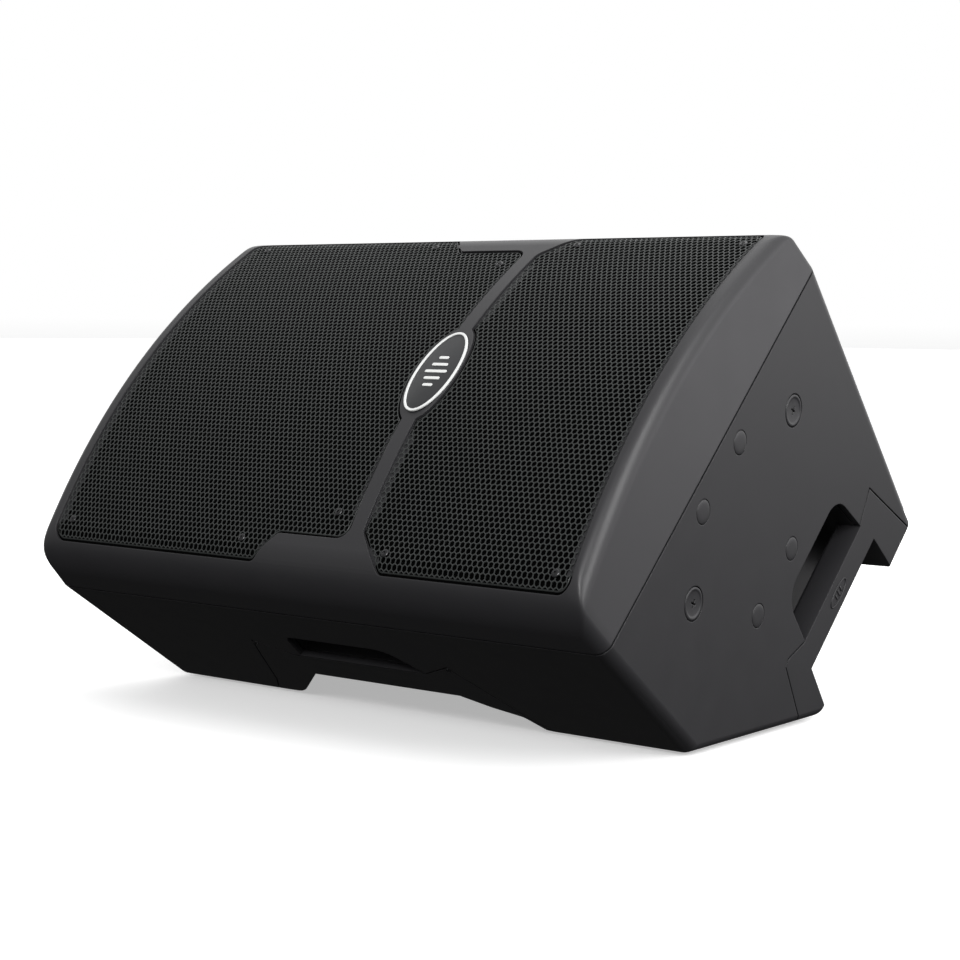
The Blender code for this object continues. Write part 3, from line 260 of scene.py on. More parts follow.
CHARCOAL = (0.030, 0.0295, 0.032)
FINISH = {
    "cabinet_plastic": procedural(
        "moulded_charcoal", CHARCOAL, 0.40, grain=0.0009, depth=0.00003,
        vary=0.03, spread=0.015, edge=0.0012
    ),
    "grille_steel": procedural(
        "powder_coated_steel", (0.043, 0.0465, 0.0455), 0.40, grain=0.0005, depth=0.00002, edge=0.0
    ),
    # The foam is drawn nearly black, darker than foam itself, so that the grilles' holes look as dark as
    # the shade behind them: partly the foam's own colour, partly painted shade.
    "foam": procedural(
        "open_cell_foam_and_painted_shade", (0.0015, 0.0015, 0.0015), 0.97, grain=0.0014, depth=0.0006,
        cells=True, edge=0.0, specular=0.02
    ),
    "badge_silver": procedural("badge_white", (0.86, 0.87, 0.86), 0.30, vary=0.02, edge=0.0004),
    "cast_frame": procedural(
        "cast_frame", (0.03, 0.03, 0.03), 0.55, metallic=0.6, grain=0.0012, depth=0.00008
    ),
    "zinc": procedural(
        "zinc_plate", (0.52, 0.53, 0.56), 0.36, metallic=1.0, stretch=(1, 14, 1), grain=0.0016
    ),
    "ferrite": procedural("ferrite", (0.055, 0.055, 0.06), 0.72, grain=0.0008, depth=0.00006),
    "paper": procedural("pulp_cone", (0.028, 0.028, 0.030), 0.88, grain=0.0022, depth=0.00018, vary=0.3),
    "treated_cloth": procedural(
        "treated_cloth", (0.05, 0.042, 0.03), 0.85, grain=0.0011, depth=0.00012, cells=True, sheen=0.2
    ),
    "copper": procedural(
        "copper_winding", (0.62, 0.30, 0.14), 0.32, metallic=1.0, stretch=(1, 1, 8), grain=0.002
    ),
    "horn_plastic": procedural("horn_plastic", (0.014, 0.014, 0.014), 0.42, grain=0.001, depth=0.00002),
    "panel_metal": procedural("panel_paint", (0.022, 0.022, 0.024), 0.5, grain=0.0007, depth=0.00003),
    "heat_sink": procedural(
        "anodised", (0.03, 0.03, 0.032), 0.38, metallic=0.9, stretch=(1, 10, 10), grain=0.0014
    ),
    "board": procedural("circuit_board", (0.02, 0.11, 0.05), 0.45, grain=0.003, depth=0.00005, vary=0.3),
    "connector": procedural(
        "connector", (0.016, 0.016, 0.017), 0.4, grain=0.0008, depth=0.00001, edge=0.0004
    ),
    "latch_red": procedural("latch_red", (0.45, 0.025, 0.015), 0.35, vary=0.08, edge=0.0004),
    "knob": procedural(
        "knob_rubber", (0.022, 0.022, 0.023), 0.55, grain=0.0006, depth=0.00003, edge=0.0004
    ),
    "display": procedural(
        "display_glass", (0.012, 0.03, 0.075), 0.08, vary=0.05, spread=0.02, depth=0.0, coat=0.5
    ),
    "rubber": procedural("rubber", (0.018, 0.018, 0.018), 0.85, grain=0.0009, depth=0.00005),
    "black_screw": procedural(
        "black_oxide", (0.07, 0.07, 0.072), 0.30, metallic=0.9, grain=0.0006, edge=0.0004
    ),
    "wire": procedural("wire_jacket", (0.35, 0.02, 0.02), 0.45, vary=0.08),
}
PRINT = procedural("white_print", (0.62, 0.62, 0.60), 0.6, vary=0.06, edge=0.0)
BADGE_FACE = procedural("badge_face", (0.030, 0.031, 0.033), 0.38, depth=0.00001, edge=0.0)
SCREEN_MARKS = procedural("screen_marks", (0.55, 0.75, 0.95), 0.4, vary=0.05, edge=0.0, glow=0.6)
LAMP_GREEN = procedural("lamp_green", (0.05, 0.5, 0.12), 0.25, vary=0.05, edge=0.0, glow=0.5)
GOLD_PIN = procedural("gold_pin", (0.7, 0.5, 0.2), 0.3, metallic=1.0, vary=0.05, edge=0.0)


def paint_cad_nodes():
    """Gives every CAD node the finish of its material slot, with its round faces smooth."""
    slots = {row["node"]: row["material_slot"] for row in frame["record"]["subparts"]}
    for node, obj in frame["nodes"].items():
        obj.data.materials.clear()
        obj.data.materials.append(FINISH[slots[node]])
        obj.data.shade_smooth()
        obj.data.set_sharp_from_angle(angle=math.radians(30))


# ---- mesh tools --------------------------------------------------------------------------------
def object_of(name, bm):
    """An object made from a mesh under construction."""
    bmesh.ops.remove_doubles(bm, verts=bm.verts, dist=1e-6)
    bmesh.ops.recalc_face_normals(bm, faces=bm.faces)
    mesh = bpy.data.meshes.new(name)
    bm.to_mesh(mesh)
    bm.free()
    obj = bpy.data.objects.new(name, mesh)
    bpy.context.scene.collection.objects.link(obj)
    return obj


def settled(obj):
    """Applies an object's modifiers to its mesh."""
    depsgraph = bpy.context.evaluated_depsgraph_get()
    before = obj.data
    obj.data = bpy.data.meshes.new_from_object(obj.evaluated_get(depsgraph))
    obj.modifiers.clear()
    bpy.data.meshes.remove(before)
    return obj


def joined_by(obj, other, operation="DIFFERENCE"):
    """Cuts, joins or trims an object with another, which is used up."""
    modifier = obj.modifiers.new(operation, "BOOLEAN")
    modifier.operation = operation
    modifier.object = other
    settled(obj)
    bpy.data.objects.remove(other)
    return obj


def soften(obj, width, segments=2):
    """Rounds the edges of an object."""
    modifier = obj.modifiers.new("soften", "BEVEL")
    modifier.width = width
    modifier.segments = segments
    modifier.limit_method = "ANGLE"
    return settled(obj)


def merged(name, objs):
    """Several meshes as one object."""
    bm = bmesh.new()
    for obj in objs:
        obj.data.transform(obj.matrix_world)
        bm.from_mesh(obj.data)
        bpy.data.objects.remove(obj)
    mesh = bpy.data.meshes.new(name)
    bm.to_mesh(mesh)
    bm.free()
    obj = bpy.data.objects.new(name, mesh)
    bpy.context.scene.collection.objects.link(obj)
    return obj


def ring_faces(bm, rings, closed=False):
    """Bridges rings of points, each with the same number, and returns the rings of vertices."""
    made = [[bm.verts.new(p) for p in ring] for ring in rings]
    pairs = list(zip(made, made[1:] + made[:1])) if closed else list(zip(made, made[1:]))
    for low, high in pairs:
        for i in range(len(low)):
            j = (i + 1) % len(low)
            bm.faces.new((low[i], low[j], high[j], high[i]))
    return made


def prism(name, outline, plane, low, high):
    """An outline extruded along the third axis. plane names the axes that the outline is in."""
    order = {"XY": (0, 1, 2), "YZ": (2, 0, 1), "XZ": (0, 2, 1)}[plane]

    def place(a, b, c):
        values = (a, b, c)
        return Vector([values[order[k]] for k in range(3)])

    bm = bmesh.new()
    rings = ring_faces(bm, [[place(a, b, c) for a, b in outline] for c in (low, high)])
    bm.faces.new(rings[0])
    bm.faces.new(rings[1])
    return object_of(name, bm)


def block(name, low, high):
    """A box between two corners."""
    outline = [(low[0], low[1]), (high[0], low[1]), (high[0], high[1]), (low[0], high[1])]
    return prism(name, outline, "XY", low[2], high[2])


def lathe(name, profile, steps=48, start=0.0, sweep=math.tau):
    """A profile of (radius, height) points turned about Z, whole or in part."""
    bm = bmesh.new()
    whole = sweep == math.tau
    on_axis = profile[0][0] == 0 and profile[-1][0] == 0
    columns = []
    for k in range(steps if whole else steps + 1):
        turn = start + sweep * k / steps
        columns.append([(r * math.cos(turn), r * math.sin(turn), z) for r, z in profile])
    made = [[bm.verts.new(p) for p in column] for column in columns]
    loop = list(zip(made, made[1:] + made[:1])) if whole else list(zip(made, made[1:]))
    count = len(profile)
    for a, b in loop:
        for i in range(count - 1 if on_axis else count):
            j = (i + 1) % count
            if profile[i][0] == 0 and profile[j][0] == 0:
                continue
            corners = [a[i], b[i], b[j], a[j]]
            if profile[i][0] == 0:
                corners = [a[i], b[j], a[j]]
            elif profile[j][0] == 0:
                corners = [a[i], b[i], a[j]]
            bm.faces.new(corners)
    if not whole:
        bm.faces.new(made[0])
        bm.faces.new(made[-1])
    return object_of(name, bm)


def rounded(corners, steps=8):
    """An outline from (x, y, radius) corners, each turned by an arc of that radius."""
    points = []
    for i, (x, y, radius) in enumerate(corners):
        here = Vector((x, y))
        before = (Vector(corners[i - 1][:2]) - here).normalized()
        after = (Vector(corners[(i + 1) % len(corners)][:2]) - here).normalized()
        if radius == 0:
            points.append(here)
            continue
        half = before.angle(after) / 2
        reach = radius / math.tan(half)
        centre = here + (before + after).normalized() * radius / math.sin(half)
        start, end = here + before * reach - centre, here + after * reach - centre
        sweep = start.angle_signed(end)
        points += [centre + Matrix.Rotation(-sweep * k / steps, 2) @ start for k in range(steps + 1)]
    return [(p.x, p.y) for p in points]


def grown(outline, distance):
    """An outline moved outwards by a distance, keeping its corners."""
    points = [Vector(p) for p in outline]
    points = [p for i, p in enumerate(points) if (p - points[i - 1]).length > 1e-7]
    area = sum(a.x * b.y - b.x * a.y for a, b in zip(points, points[1:] + points[:1]))
    side = 1 if area > 0 else -1
    made = []
    for i, p in enumerate(points):
        into = (p - points[i - 1]).normalized()
        out = (points[(i + 1) % len(points)] - p).normalized()
        normal_in = Vector((into.y, -into.x)) * side
        normal_out = Vector((out.y, -out.x)) * side
        middle_normal = (normal_in + normal_out).normalized()
        made.append(p + middle_normal * distance / max(0.3, middle_normal.dot(normal_in)))
    return [(p.x, p.y) for p in made]


def curved_slab(name, outline, low, high, steps=64):
    """A sheet with this (x, v) outline between two heights, which are functions of v."""
    reach = HALF_W - 0.006
    across = [reach * math.sin(math.pi / 2 * (2 * i / steps - 1)) for i in range(steps + 1)]
    loop = [(v, high(v)) for v in across] + [(v, low(v)) for v in reversed(across)]
    xs = [p[0] for p in outline]
    sheet = prism(name, loop, "YZ", min(xs) - 0.01, max(xs) + 0.01)
    return joined_by(sheet, prism(f"{name}_outline", outline, "XY", -0.05, 0.2), "INTERSECT")


def piece(obj, slot, body="cabinet", replaces=(), finish=None, place=CABINET, sharp=32, weighted=False):
    """Moves a mesh from the cabinet's frame into the world, finishes it and lets it ride a body."""
    obj.data.transform(place)
    obj.data.materials.clear()
    obj.data.materials.append(finish or FINISH[slot])
    obj.data.shade_smooth()
    obj.data.set_sharp_from_angle(angle=math.radians(sharp))
    if weighted:
        normals = obj.modifiers.new("flat_faces_stay_flat", "WEIGHTED_NORMAL")
        normals.keep_sharp = True
        settled(obj)
    if body:
        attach(obj, body)
    if replaces:
        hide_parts(*replaces)
    return obj


# ---- cabinet outlines --------------------------------------------------------------------------
def half_ring(half_x, half_v, radius, corner_steps, side_steps):
    """The +X half of a rounded rectangle from low v to high v, as (x, v, outward x, outward v)."""
    points = []
    for k in range(corner_steps + 1):
        t = math.pi / 2 * (k / corner_steps - 1)
        nx, nv = math.cos(t), math.sin(t)
        points.append((half_x - radius * (1 - nx), -half_v + radius * (1 + nv), nx, nv))
    top = [(x, -v, nx, -nv) for x, v, nx, nv in reversed(points)]
    low_v, high_v = points[-1][1], top[0][1]
    for k in range(1, side_steps):
        points.append((half_x, low_v + (high_v - low_v) * k / side_steps, 1, 0))
    return points + top


def pillow(name, inset, base, corner_steps=10, side_steps=56, turn_steps=18):
    """The front moulding's outer form, or that form moved inwards by inset, from height base."""
    end_round, end_drop, side_round = END_ROUND - inset * 0.8, END_DROP - inset, SIDE_ROUND - inset
    rows = [(0.0, None)] + [(1.0, k) for k in range(turn_steps + 1)]
    bm, rings = bmesh.new(), []
    for draft, step in rows:
        turn = math.pi / 2 * (step or 0) / turn_steps
        inward = 1 - math.cos(turn)
        half_x = HALF_L - inset - FRONT_DRAFT * draft - end_round * inward
        half_v = HALF_W - inset - side_round * inward
        right = []
        for x, v, nx, nv in half_ring(half_x, half_v, CORNER - inset, corner_steps, side_steps):
            drop = end_drop * nx * nx + side_round * nv * nv
            height = front_height(v) - inset - drop * (1 - math.sin(turn))
            right.append(Vector((x, v, base if step is None else height)))
        rings.append(right + [Vector((-p.x, p.y, p.z)) for p in reversed(right)])
    made = ring_faces(bm, rings)
    count = len(rings[0])
    for ring in (made[0], made[-1]):
        for i in range(count // 2 - 1):
            bm.faces.new((ring[i], ring[i + 1], ring[count - 2 - i], ring[count - 1 - i]))
    return object_of(name, bm)


def body_sides(depth, inset=0.0):
    """Lower and upper edge of the body's cross-section at a depth, moved in by inset."""
    slope = KNEE_INSET / KNEE_DEPTH
    lean = HIGH_SIDE_INSET / BODY_DEPTH
    chamfer = 1 / math.tan(WEDGE_ANGLE)
    side_v = -HALF_W + slope * depth + inset * math.hypot(1, slope)
    floor_v = KNEE_V + chamfer * (depth - KNEE_DEPTH) + inset * math.hypot(1, chamfer)
    return max(side_v, floor_v), HALF_W - lean * depth - inset * math.hypot(1, lean)


def inner_knee(inset):
    """Depth at which the lower side meets the floor face once both have moved in."""
    slope = KNEE_INSET / KNEE_DEPTH
    chamfer = 1 / math.tan(WEDGE_ANGLE)
    return KNEE_DEPTH - inset * (math.hypot(1, chamfer) - math.hypot(1, slope)) / (chamfer - slope)


def body_block(name, inset, top, bottom=BODY_DEPTH, steps=12):
    """The body's outer form, or that form moved in: three rounded outlines joined in depth."""
    bm, rings = bmesh.new(), []
    for depth in (top, inner_knee(inset), bottom - inset):
        low, high = body_sides(depth, inset)
        half_x = end_x(depth) - inset * math.hypot(1, END_DRAFT)
        side = half_ring(half_x, (high - low) / 2, CORNER - inset, steps, 1)
        right = [Vector((x, v + (high + low) / 2, -depth)) for x, v, _, _ in side]
        rings.append(right + [Vector((-p.x, p.y, p.z)) for p in reversed(right)])
    made = ring_faces(bm, rings)
    bm.faces.new(made[0])
    bm.faces.new(made[-1])
    return object_of(name, bm)


def badge_bay(side, steps=24):
    """The grille's edge round the badge, upwards on the woofer's side and downwards on the horn's."""
    reach = LOBE[1] * math.sqrt(1 - (STRIP_HALF / LOBE[0]) ** 2)
    points = []
    for k in range(steps + 1):
        v = side * reach * (1 - 2 * k / steps)
        points.append((STRIP_X + side * LOBE[0] * math.sqrt(1 - (v / LOBE[1]) ** 2), v))
    return points


def woofer_grille_outline():
    """The larger grille, stepped at its inner corners, with a bay for the badge."""
    inner = STRIP_X - STRIP_HALF
    half = GRILLE_HALF_WIDTH
    low = [
        (GRILLE_LOW_X, -half, 0.014), (-0.040, -half, 0.008),
        (-0.016, -0.182, 0.008), (inner, -0.182, 0.013)
    ]
    high = [(x, -v, r) for x, v, r in reversed(low)]
    edge = rounded(low + high)
    split = next(i for i, p in enumerate(edge) if p[1] > 0)
    return edge[:split] + badge_bay(-1) + edge[split:]


def horn_grille_outline():
    """The smaller grille, with cut inner corners and a bay for the badge."""
    inner = STRIP_X + STRIP_HALF
    half = GRILLE_HALF_WIDTH
    high = [(GRILLE_HIGH_X, half, 0.012), (0.117, half, 0.008), (inner, 0.174, 0.008)]
    low = [(x, -v, r) for x, v, r in reversed(high)]
    edge = rounded(high + low)
    split = next(i for i, p in enumerate(edge) if p[1] < 0)
    return edge[:split] + badge_bay(1) + edge[split:]


# ---- handles -----------------------------------------------------------------------------------
def top_pocket(name, grow=0.0):
    """The space of the handle in the horn end: finger opening, room behind the bar, and rear notch."""
    first, second = TOP_OPENING
    back = BODY_DEPTH + 0.02
    plan = [(-0.002, first, 0.026), (0.122, first, 0.028), (0.137, second, 0), (0.148, TOP_BAR, 0)]
    plan += [(0.158, back, 0), (-0.023, back, 0), (-0.014, TOP_BAR, 0), (-0.006, second, 0)]
    plan = grown(rounded([(v, -d, r) for v, d, r in plan], 12), grow)
    outer = end_x(first)
    space = prism(name, plan, "YZ", outer - TOP_DEEP - 0.02 - grow, outer + 0.03)
    deep = end_x(TOP_BAR) - TOP_DEEP
    ramp = [(outer + 0.04, first), (outer - 0.012, first), (deep + 0.006, second - 0.012), (deep, second)]
    ramp += [(deep, back), (outer + 0.04, back)]
    ramp = grown([(x, -d) for x, d in ramp], grow)
    return joined_by(space, prism(f"{name}_ramp", ramp, "XZ", -0.08, 0.20), "INTERSECT")


def side_pocket(name, grow=0.0):
    """The space of the handle in the lower side, open to the floor face under its bar.

    Its lower flank ends in a rounded foot, and widens behind that foot."""
    first, second = SIDE_OPENING
    low = KNEE_DEPTH + 0.09
    plan = [(-0.066, first, 0.012), (0.062, first, 0.030), (SIDE_HALF + 0.002, second, 0)]
    plan += [(0.099, SIDE_BAR, 0.010), (0.127, 0.1437, 0.020), (0.1575, 0.1553, 0.010)]
    plan += [(0.1705, 0.1775, 0), (0.1775, KNEE_DEPTH, 0), (0.1775, low, 0), (-0.1635, low, 0)]
    plan += [(-0.1635, KNEE_DEPTH, 0), (-0.1443, KNEE_DEPTH, 0.046), (-0.083, 0.124, 0)]
    plan = grown(rounded([(x, -d, r) for x, d, r in plan], 8), grow)
    space = prism(name, plan, "XZ", -0.30, KNEE_V + SIDE_DEEP + 0.02 + grow)
    behind = grown([(-0.160, 0.004), (-0.130, 0.004), (-0.130, 0.116), (-0.2448, 0.116)], grow)
    wider = prism(f"{name}_behind", behind, "XY", -0.03, 0.062 + grow)
    knee = Matrix.Translation((0, KNEE_V, -KNEE_DEPTH)) @ Matrix.Rotation(-WEDGE_ANGLE, 4, "X")
    wider.data.transform(knee)
    joined_by(space, wider, "UNION")
    face = -HALF_W + KNEE_INSET * first / KNEE_DEPTH
    deep = KNEE_V + SIDE_DEEP
    ramp = [(-0.31, first), (face + 0.012, first), (deep - 0.006, second), (deep, second + 0.012)]
    ramp += [(deep, low), (-0.31, low)]
    ramp = grown([(v, -d) for v, d in ramp], grow)
    return joined_by(space, prism(f"{name}_ramp", ramp, "YZ", -0.25, 0.25), "INTERSECT")


def top_bar(name):
    """The grip across the top handle. It reaches past the end face, which trims it flush."""
    outer = end_x(TOP_BAR)
    low = (outer - BAR_THICK, -0.05, -TOP_BAR)
    return soften(block(name, low, (outer + 0.05, 0.19, -TOP_OPENING[1])), 0.006, 6)


def side_bar(name):
    face = -HALF_W + KNEE_INSET * SIDE_BAR / KNEE_DEPTH
    low = (-0.20, face - 0.05, -SIDE_BAR)
    return soften(block(name, low, (0.20, face + BAR_THICK, -SIDE_OPENING[1])), 0.006, 6)


# ---- front moulding ----------------------------------------------------------------------------
OUTLINES = {"woofer": woofer_grille_outline(), "horn": horn_grille_outline()}


def badge_oval(grow=0.0, steps=72):
    """The badge's outline, moved outwards by a distance."""
    turns = [math.tau * i / steps for i in range(steps)]
    return [(STRIP_X + (BADGE[0] + grow) * math.cos(t), (BADGE[1] + grow) * math.sin(t)) for t in turns]


def build_front():
    """The front moulding with its grille recesses, deck holes and badge seat."""
    front = pillow("front_moulding", 0.0, SEAM / 2)
    hollow = pillow("front_hollow", SKIN, -0.01, 4, 16, 6)
    for part, outline in OUTLINES.items():
        wall = grown(outline, SKIN - LEDGE)
        joined_by(hollow, prism(f"{part}_well_wall", wall, "XY", DECK_BACK, 0.2))
    joined_by(front, hollow)
    for part, outline in OUTLINES.items():
        joined_by(front, prism(f"{part}_window", grown(outline, -LEDGE), "XY", DECK_FRONT, 0.2))
        seat = curved_slab(
            f"{part}_grille_seat",
            grown(outline, REVEAL),
            lambda v: surface_height(v) - GRILLE_SINK - SHEET - GAP,
            lambda v: surface_height(v) + 0.02,
        )
        joined_by(front, seat)
    woofer, horn = middle("woofer_cone"), middle("horn_flare")
    joined_by(front, turned_hole("woofer_hole", woofer.x, WOOFER_HOLE, -0.01, DECK_FRONT + 0.005))
    flange_room = turned_hole(
        "flange_room", woofer.x, WOOFER_FLANGE + 0.0015, DECK_FRONT, DECK_FRONT + 0.0085
    )
    joined_by(front, flange_room)
    half_x, half_v = HORN_MOUTH[0] + GAP, HORN_MOUTH[1] + GAP
    joined_by(front, block("horn_hole", (horn.x - half_x, -half_v, 0), (horn.x + half_x, half_v, 0.025)))
    half_x, half_v = PORT_HALF[0] + 0.0035, PORT_HALF[1] + 0.0035
    for v in (-PORT_V, PORT_V):
        low, high = (horn.x - half_x, v - half_v, 0), (horn.x + half_x, v + half_v, 0.025)
        joined_by(front, block("port_hole", low, high))
    seat_height = front_height(0) - 0.0016
    joined_by(front, prism("badge_seat", badge_oval(GAP), "XY", seat_height, 0.2))
    piece(front, "cabinet_plastic", replaces=("front_baffle",))


def turned_hole(name, x, radius, low, high, v=0.0):
    hole = lathe(name, [(0, low), (radius, low), (radius, high), (0, high)], 96)
    hole.data.transform(Matrix.Translation((x, v, 0)))
    return hole


# ---- body and rear housing ---------------------------------------------------------------------
def panel_box(name, grow, low, high):
    """A box over the rear panel, grown beyond its edges, between two depths."""
    corner = (PANEL_LOW.x - grow, PANEL_LOW.y - grow, -high)
    return block(name, corner, (PANEL_HIGH.x + grow, PANEL_HIGH.y + grow, -low))


def moulded_shell(name):
    """Body and rear housing as one hollow moulding, with the handle pockets and the panel well."""
    shell = soften(body_block(name, 0.0, -0.02), 0.0045, 5)
    joined_by(shell, block(f"{name}_above", (-0.40, -0.30, -SEAM / 2), (0.40, 0.30, 0.06)))
    hollow = body_block(f"{name}_hollow", WALL, -0.03)
    joined_by(hollow, top_pocket(f"{name}_top_wall", grow=0.004))
    joined_by(hollow, side_pocket(f"{name}_side_wall", grow=0.004))
    joined_by(hollow, panel_box(f"{name}_well_wall", 0.005, PANEL_FACE - PANEL_THICK - 0.0045, 0.5))
    joined_by(shell, hollow)
    for space, bar in ((top_pocket, top_bar), (side_pocket, side_bar)):
        joined_by(shell, joined_by(space(f"{name}_space"), bar(f"{name}_bar")))
    joined_by(shell, panel_box(f"{name}_well", GAP, PANEL_FACE - PANEL_THICK - GAP, 0.5))
    joined_by(shell, panel_box(f"{name}_window", -PANEL_LEDGE, 0.2, 0.4))
    return shell


def rear_region(name, grow=0.0):
    """Everything that belongs to the rear housing: the back and its wells, and a tongue at each handle."""
    region = body_block(name, 0.008 - grow, 0.030 - grow, bottom=BODY_DEPTH + 0.02)
    tongue = [(-0.0076, 0.267), (-0.0372, 0.2546), (-0.0441, 0.2574), (-0.070, 0.360), (-0.070, 0.40)]
    tongue += [(0.215, 0.40), (0.2043, 0.350), (0.1718, 0.2519), (0.1339, 0.2657)]
    tongue = grown([(v, -d) for v, d in tongue], grow)
    joined_by(region, prism(f"{name}_top", tongue, "YZ", 0.240 - grow, 0.40), "UNION")
    side = [(0.085, 0.0895), (0.125, 0.069), (0.163, 0.156), (0.186, 0.190), (0.186, 0.40)]
    side += [(-x, d) for x, d in reversed(side)]
    side = grown([(x, -d) for x, d in side], grow)
    return joined_by(region, prism(f"{name}_side", side, "XZ", -0.30, 0.03 + grow), "UNION")


def axis_frame(node, inward=0.0):
    """The frame of a turned part in an end face: its middle, with Z along the face's normal."""
    centre = middle(node)
    side = math.copysign(1, centre.x)
    tilt = 0.0 if node == "pole_socket" else math.atan(END_DRAFT)
    turn = Matrix.Rotation(side * (math.pi / 2 + tilt), 4, "Y")
    on_face = Vector((side * end_x(-centre.z), centre.y, centre.z))
    normal = (turn @ Vector((0, 0, 1))).normalized()
    offset = (centre - on_face).dot(normal)
    return Matrix.Translation(centre - normal * (offset + inward)) @ turn


def seat_cut(obj, place, radius, depth, hole=0.0, hole_depth=0.03):
    """A round seat in a shell, with an optional hole through it."""
    profile = [(0, -hole_depth), (hole, -hole_depth), (hole, -depth)] if hole else [(0, -depth)]
    cutter = lathe("seat", profile + [(radius, -depth), (radius, 0.02), (0, 0.02)], 40)
    cutter.data.transform(place)
    joined_by(obj, cutter)


def build_body():
    """The body shell and the rear housing, parted by a seam."""
    body = moulded_shell("body_moulding")
    housing = moulded_shell("rear_moulding")
    joined_by(body, rear_region("rear_region_out", grow=PANEL_SEAM))
    joined_by(housing, rear_region("rear_region_in"), "INTERSECT")
    for i in (1, 2):
        seat_cut(body, axis_frame(f"rigging_bolt_{i}"), 0.0158, 0.0030, hole=0.0054)
    for i in range(1, 5):
        seat_cut(body, axis_frame(f"top_plug_{i}"), 0.0114, 0.0020)
        seat_cut(body, axis_frame(f"bottom_foot_{i}"), 0.0134, 0.0025)
        seat_cut(body, foot_frame(f"floor_foot_{i}"), 0.0134, 0.0025)
    pole = axis_frame("pole_socket")
    bore = 0.0180
    seat_cut(body, pole, bore + 0.0124, 0.0035, hole=bore + 0.0032)
    piece(body, "cabinet_plastic", replaces=("cabinet_body",), weighted=True)
    piece(housing, "cabinet_plastic", replaces=("rear_housing",), weighted=True)


def foot_frame(node):
    """The frame of a foot under the floor face, its Z pointing down."""
    centre = middle(node)
    turn = Matrix.Rotation(math.pi - WEDGE_ANGLE, 4, "X")
    normal = turn @ Vector((0, 0, 1))
    on_face = Vector((centre.x, KNEE_V, -KNEE_DEPTH))
    offset = (centre - on_face).dot(normal)
    return Matrix.Translation(centre - normal * offset) @ turn


# ---- perforated grilles ------------------------------------------------------------------------
def inside(points, outline):
    """Which points lie inside an outline."""
    found = np.zeros(len(points), bool)
    for (ax, ay), (bx, by) in zip(outline, outline[1:] + outline[:1]):
        if ay == by:
            continue
        crosses = (points[:, 1] > ay) != (points[:, 1] > by)
        found ^= crosses & (points[:, 0] < ax + (points[:, 1] - ay) * (bx - ax) / (by - ay))
    return found


def onto(points, outline):
    """The nearest place on an outline for each point."""
    best = np.full(len(points), np.inf)
    nearest = points.copy()
    for a, b in zip(outline, outline[1:] + outline[:1]):
        a, along = np.array(a), np.array(b) - np.array(a)
        share = np.clip((points - a) @ along / (along @ along), 0, 1)
        foot = a + share[:, None] * along
        far = ((points - foot) ** 2).sum(axis=1)
        nearest[far < best] = foot[far < best]
        best = np.minimum(far, best)
    return nearest


def lattice_sheet(outline):
    """Points and faces of a flat sheet with hexagonal holes, which the outline cuts through."""
    row = HOLE_PITCH * math.sqrt(3) / 2
    low, high = np.min(outline, axis=0), np.max(outline, axis=0)
    cells = {}
    for r in range(math.floor(low[1] / row) - 1, math.ceil(high[1] / row) + 2):
        first = math.floor(low[0] / HOLE_PITCH - r / 2) - 1
        for q in range(first, first + math.ceil((high[0] - low[0]) / HOLE_PITCH) + 4):
            cells[q, r] = len(cells)
    centres = np.array([((q + r / 2) * HOLE_PITCH, r * row) for q, r in cells])
    turns = np.radians(30 + 60 * np.arange(6))
    corner = HOLE_WIDTH / math.sqrt(3) * np.stack([np.cos(turns), np.sin(turns)], axis=1)
    points = (centres[:, None] + corner[None]).reshape(-1, 2)
    faces = []
    for (q, r), a in cells.items():
        east, north_east, north_west = (cells.get(c) for c in ((q + 1, r), (q, r + 1), (q - 1, r + 1)))
        for k, b in ((0, east), (1, north_east), (2, north_west)):
            if b is not None:
                faces.append([a * 6 + (k - 1) % 6, b * 6 + (k + 3) % 6, b * 6 + (k + 2) % 6, a * 6 + k])
        if east is not None and north_east is not None:
            faces.append([a * 6, east * 6 + 2, north_east * 6 + 4])
        if north_east is not None and north_west is not None:
            faces.append([a * 6 + 1, north_east * 6 + 3, north_west * 6 + 5])
    within = inside(points, outline)
    faces = [face for face in faces if within[face].any()]
    used = np.unique(np.concatenate(faces))
    outside = used[~within[used]]
    points[outside] = onto(points[outside], outline)
    number = np.full(len(points), -1)
    number[used] = np.arange(len(used))
    return points[used], [[int(number[i]) for i in face] for face in faces]


def thickened(name, points, faces, top, thickness):
    """A flat sheet lifted onto a curved height and given a back and walls round every edge."""
    count = len(points)
    heights = np.array([top(v) for v in points[:, 1]])
    upper = np.column_stack([points, heights])
    lower = np.column_stack([points, heights - thickness])
    edges = {(a, b) for face in faces for a, b in zip(face, face[1:] + face[:1])}
    walls = [[b, a, a + count, b + count] for a, b in edges if (b, a) not in edges]
    backs = [[i + count for i in reversed(face)] for face in faces]
    mesh = bpy.data.meshes.new(name)
    mesh.from_pydata(np.vstack([upper, lower]), [], faces + backs + sorted(walls))
    mesh.update()
    obj = bpy.data.objects.new(name, mesh)
    bpy.context.scene.collection.objects.link(obj)
    return obj


def rim_band(name, outline, top):
    """The narrow folded edge round a grille, with its outer corner rounded over."""
    section = [(0.0, -SHEET), (0.0, -0.0006), (0.0002, -0.0002), (0.0006, 0.00005)]
    section += [(RIM, 0.00005), (RIM, -SHEET)]
    bm = bmesh.new()
    rings = []
    for inward, lift in section:
        line = grown(outline, -inward) if inward else grown(outline, 0.0)
        rings.append([Vector((x, v, top(v) + lift)) for x, v in line])
    ring_faces(bm, rings, closed=True)
    return object_of(name, bm)


def grille_top(v):
    """Height of a grille's outer face."""
    return surface_height(v) - GRILLE_SINK


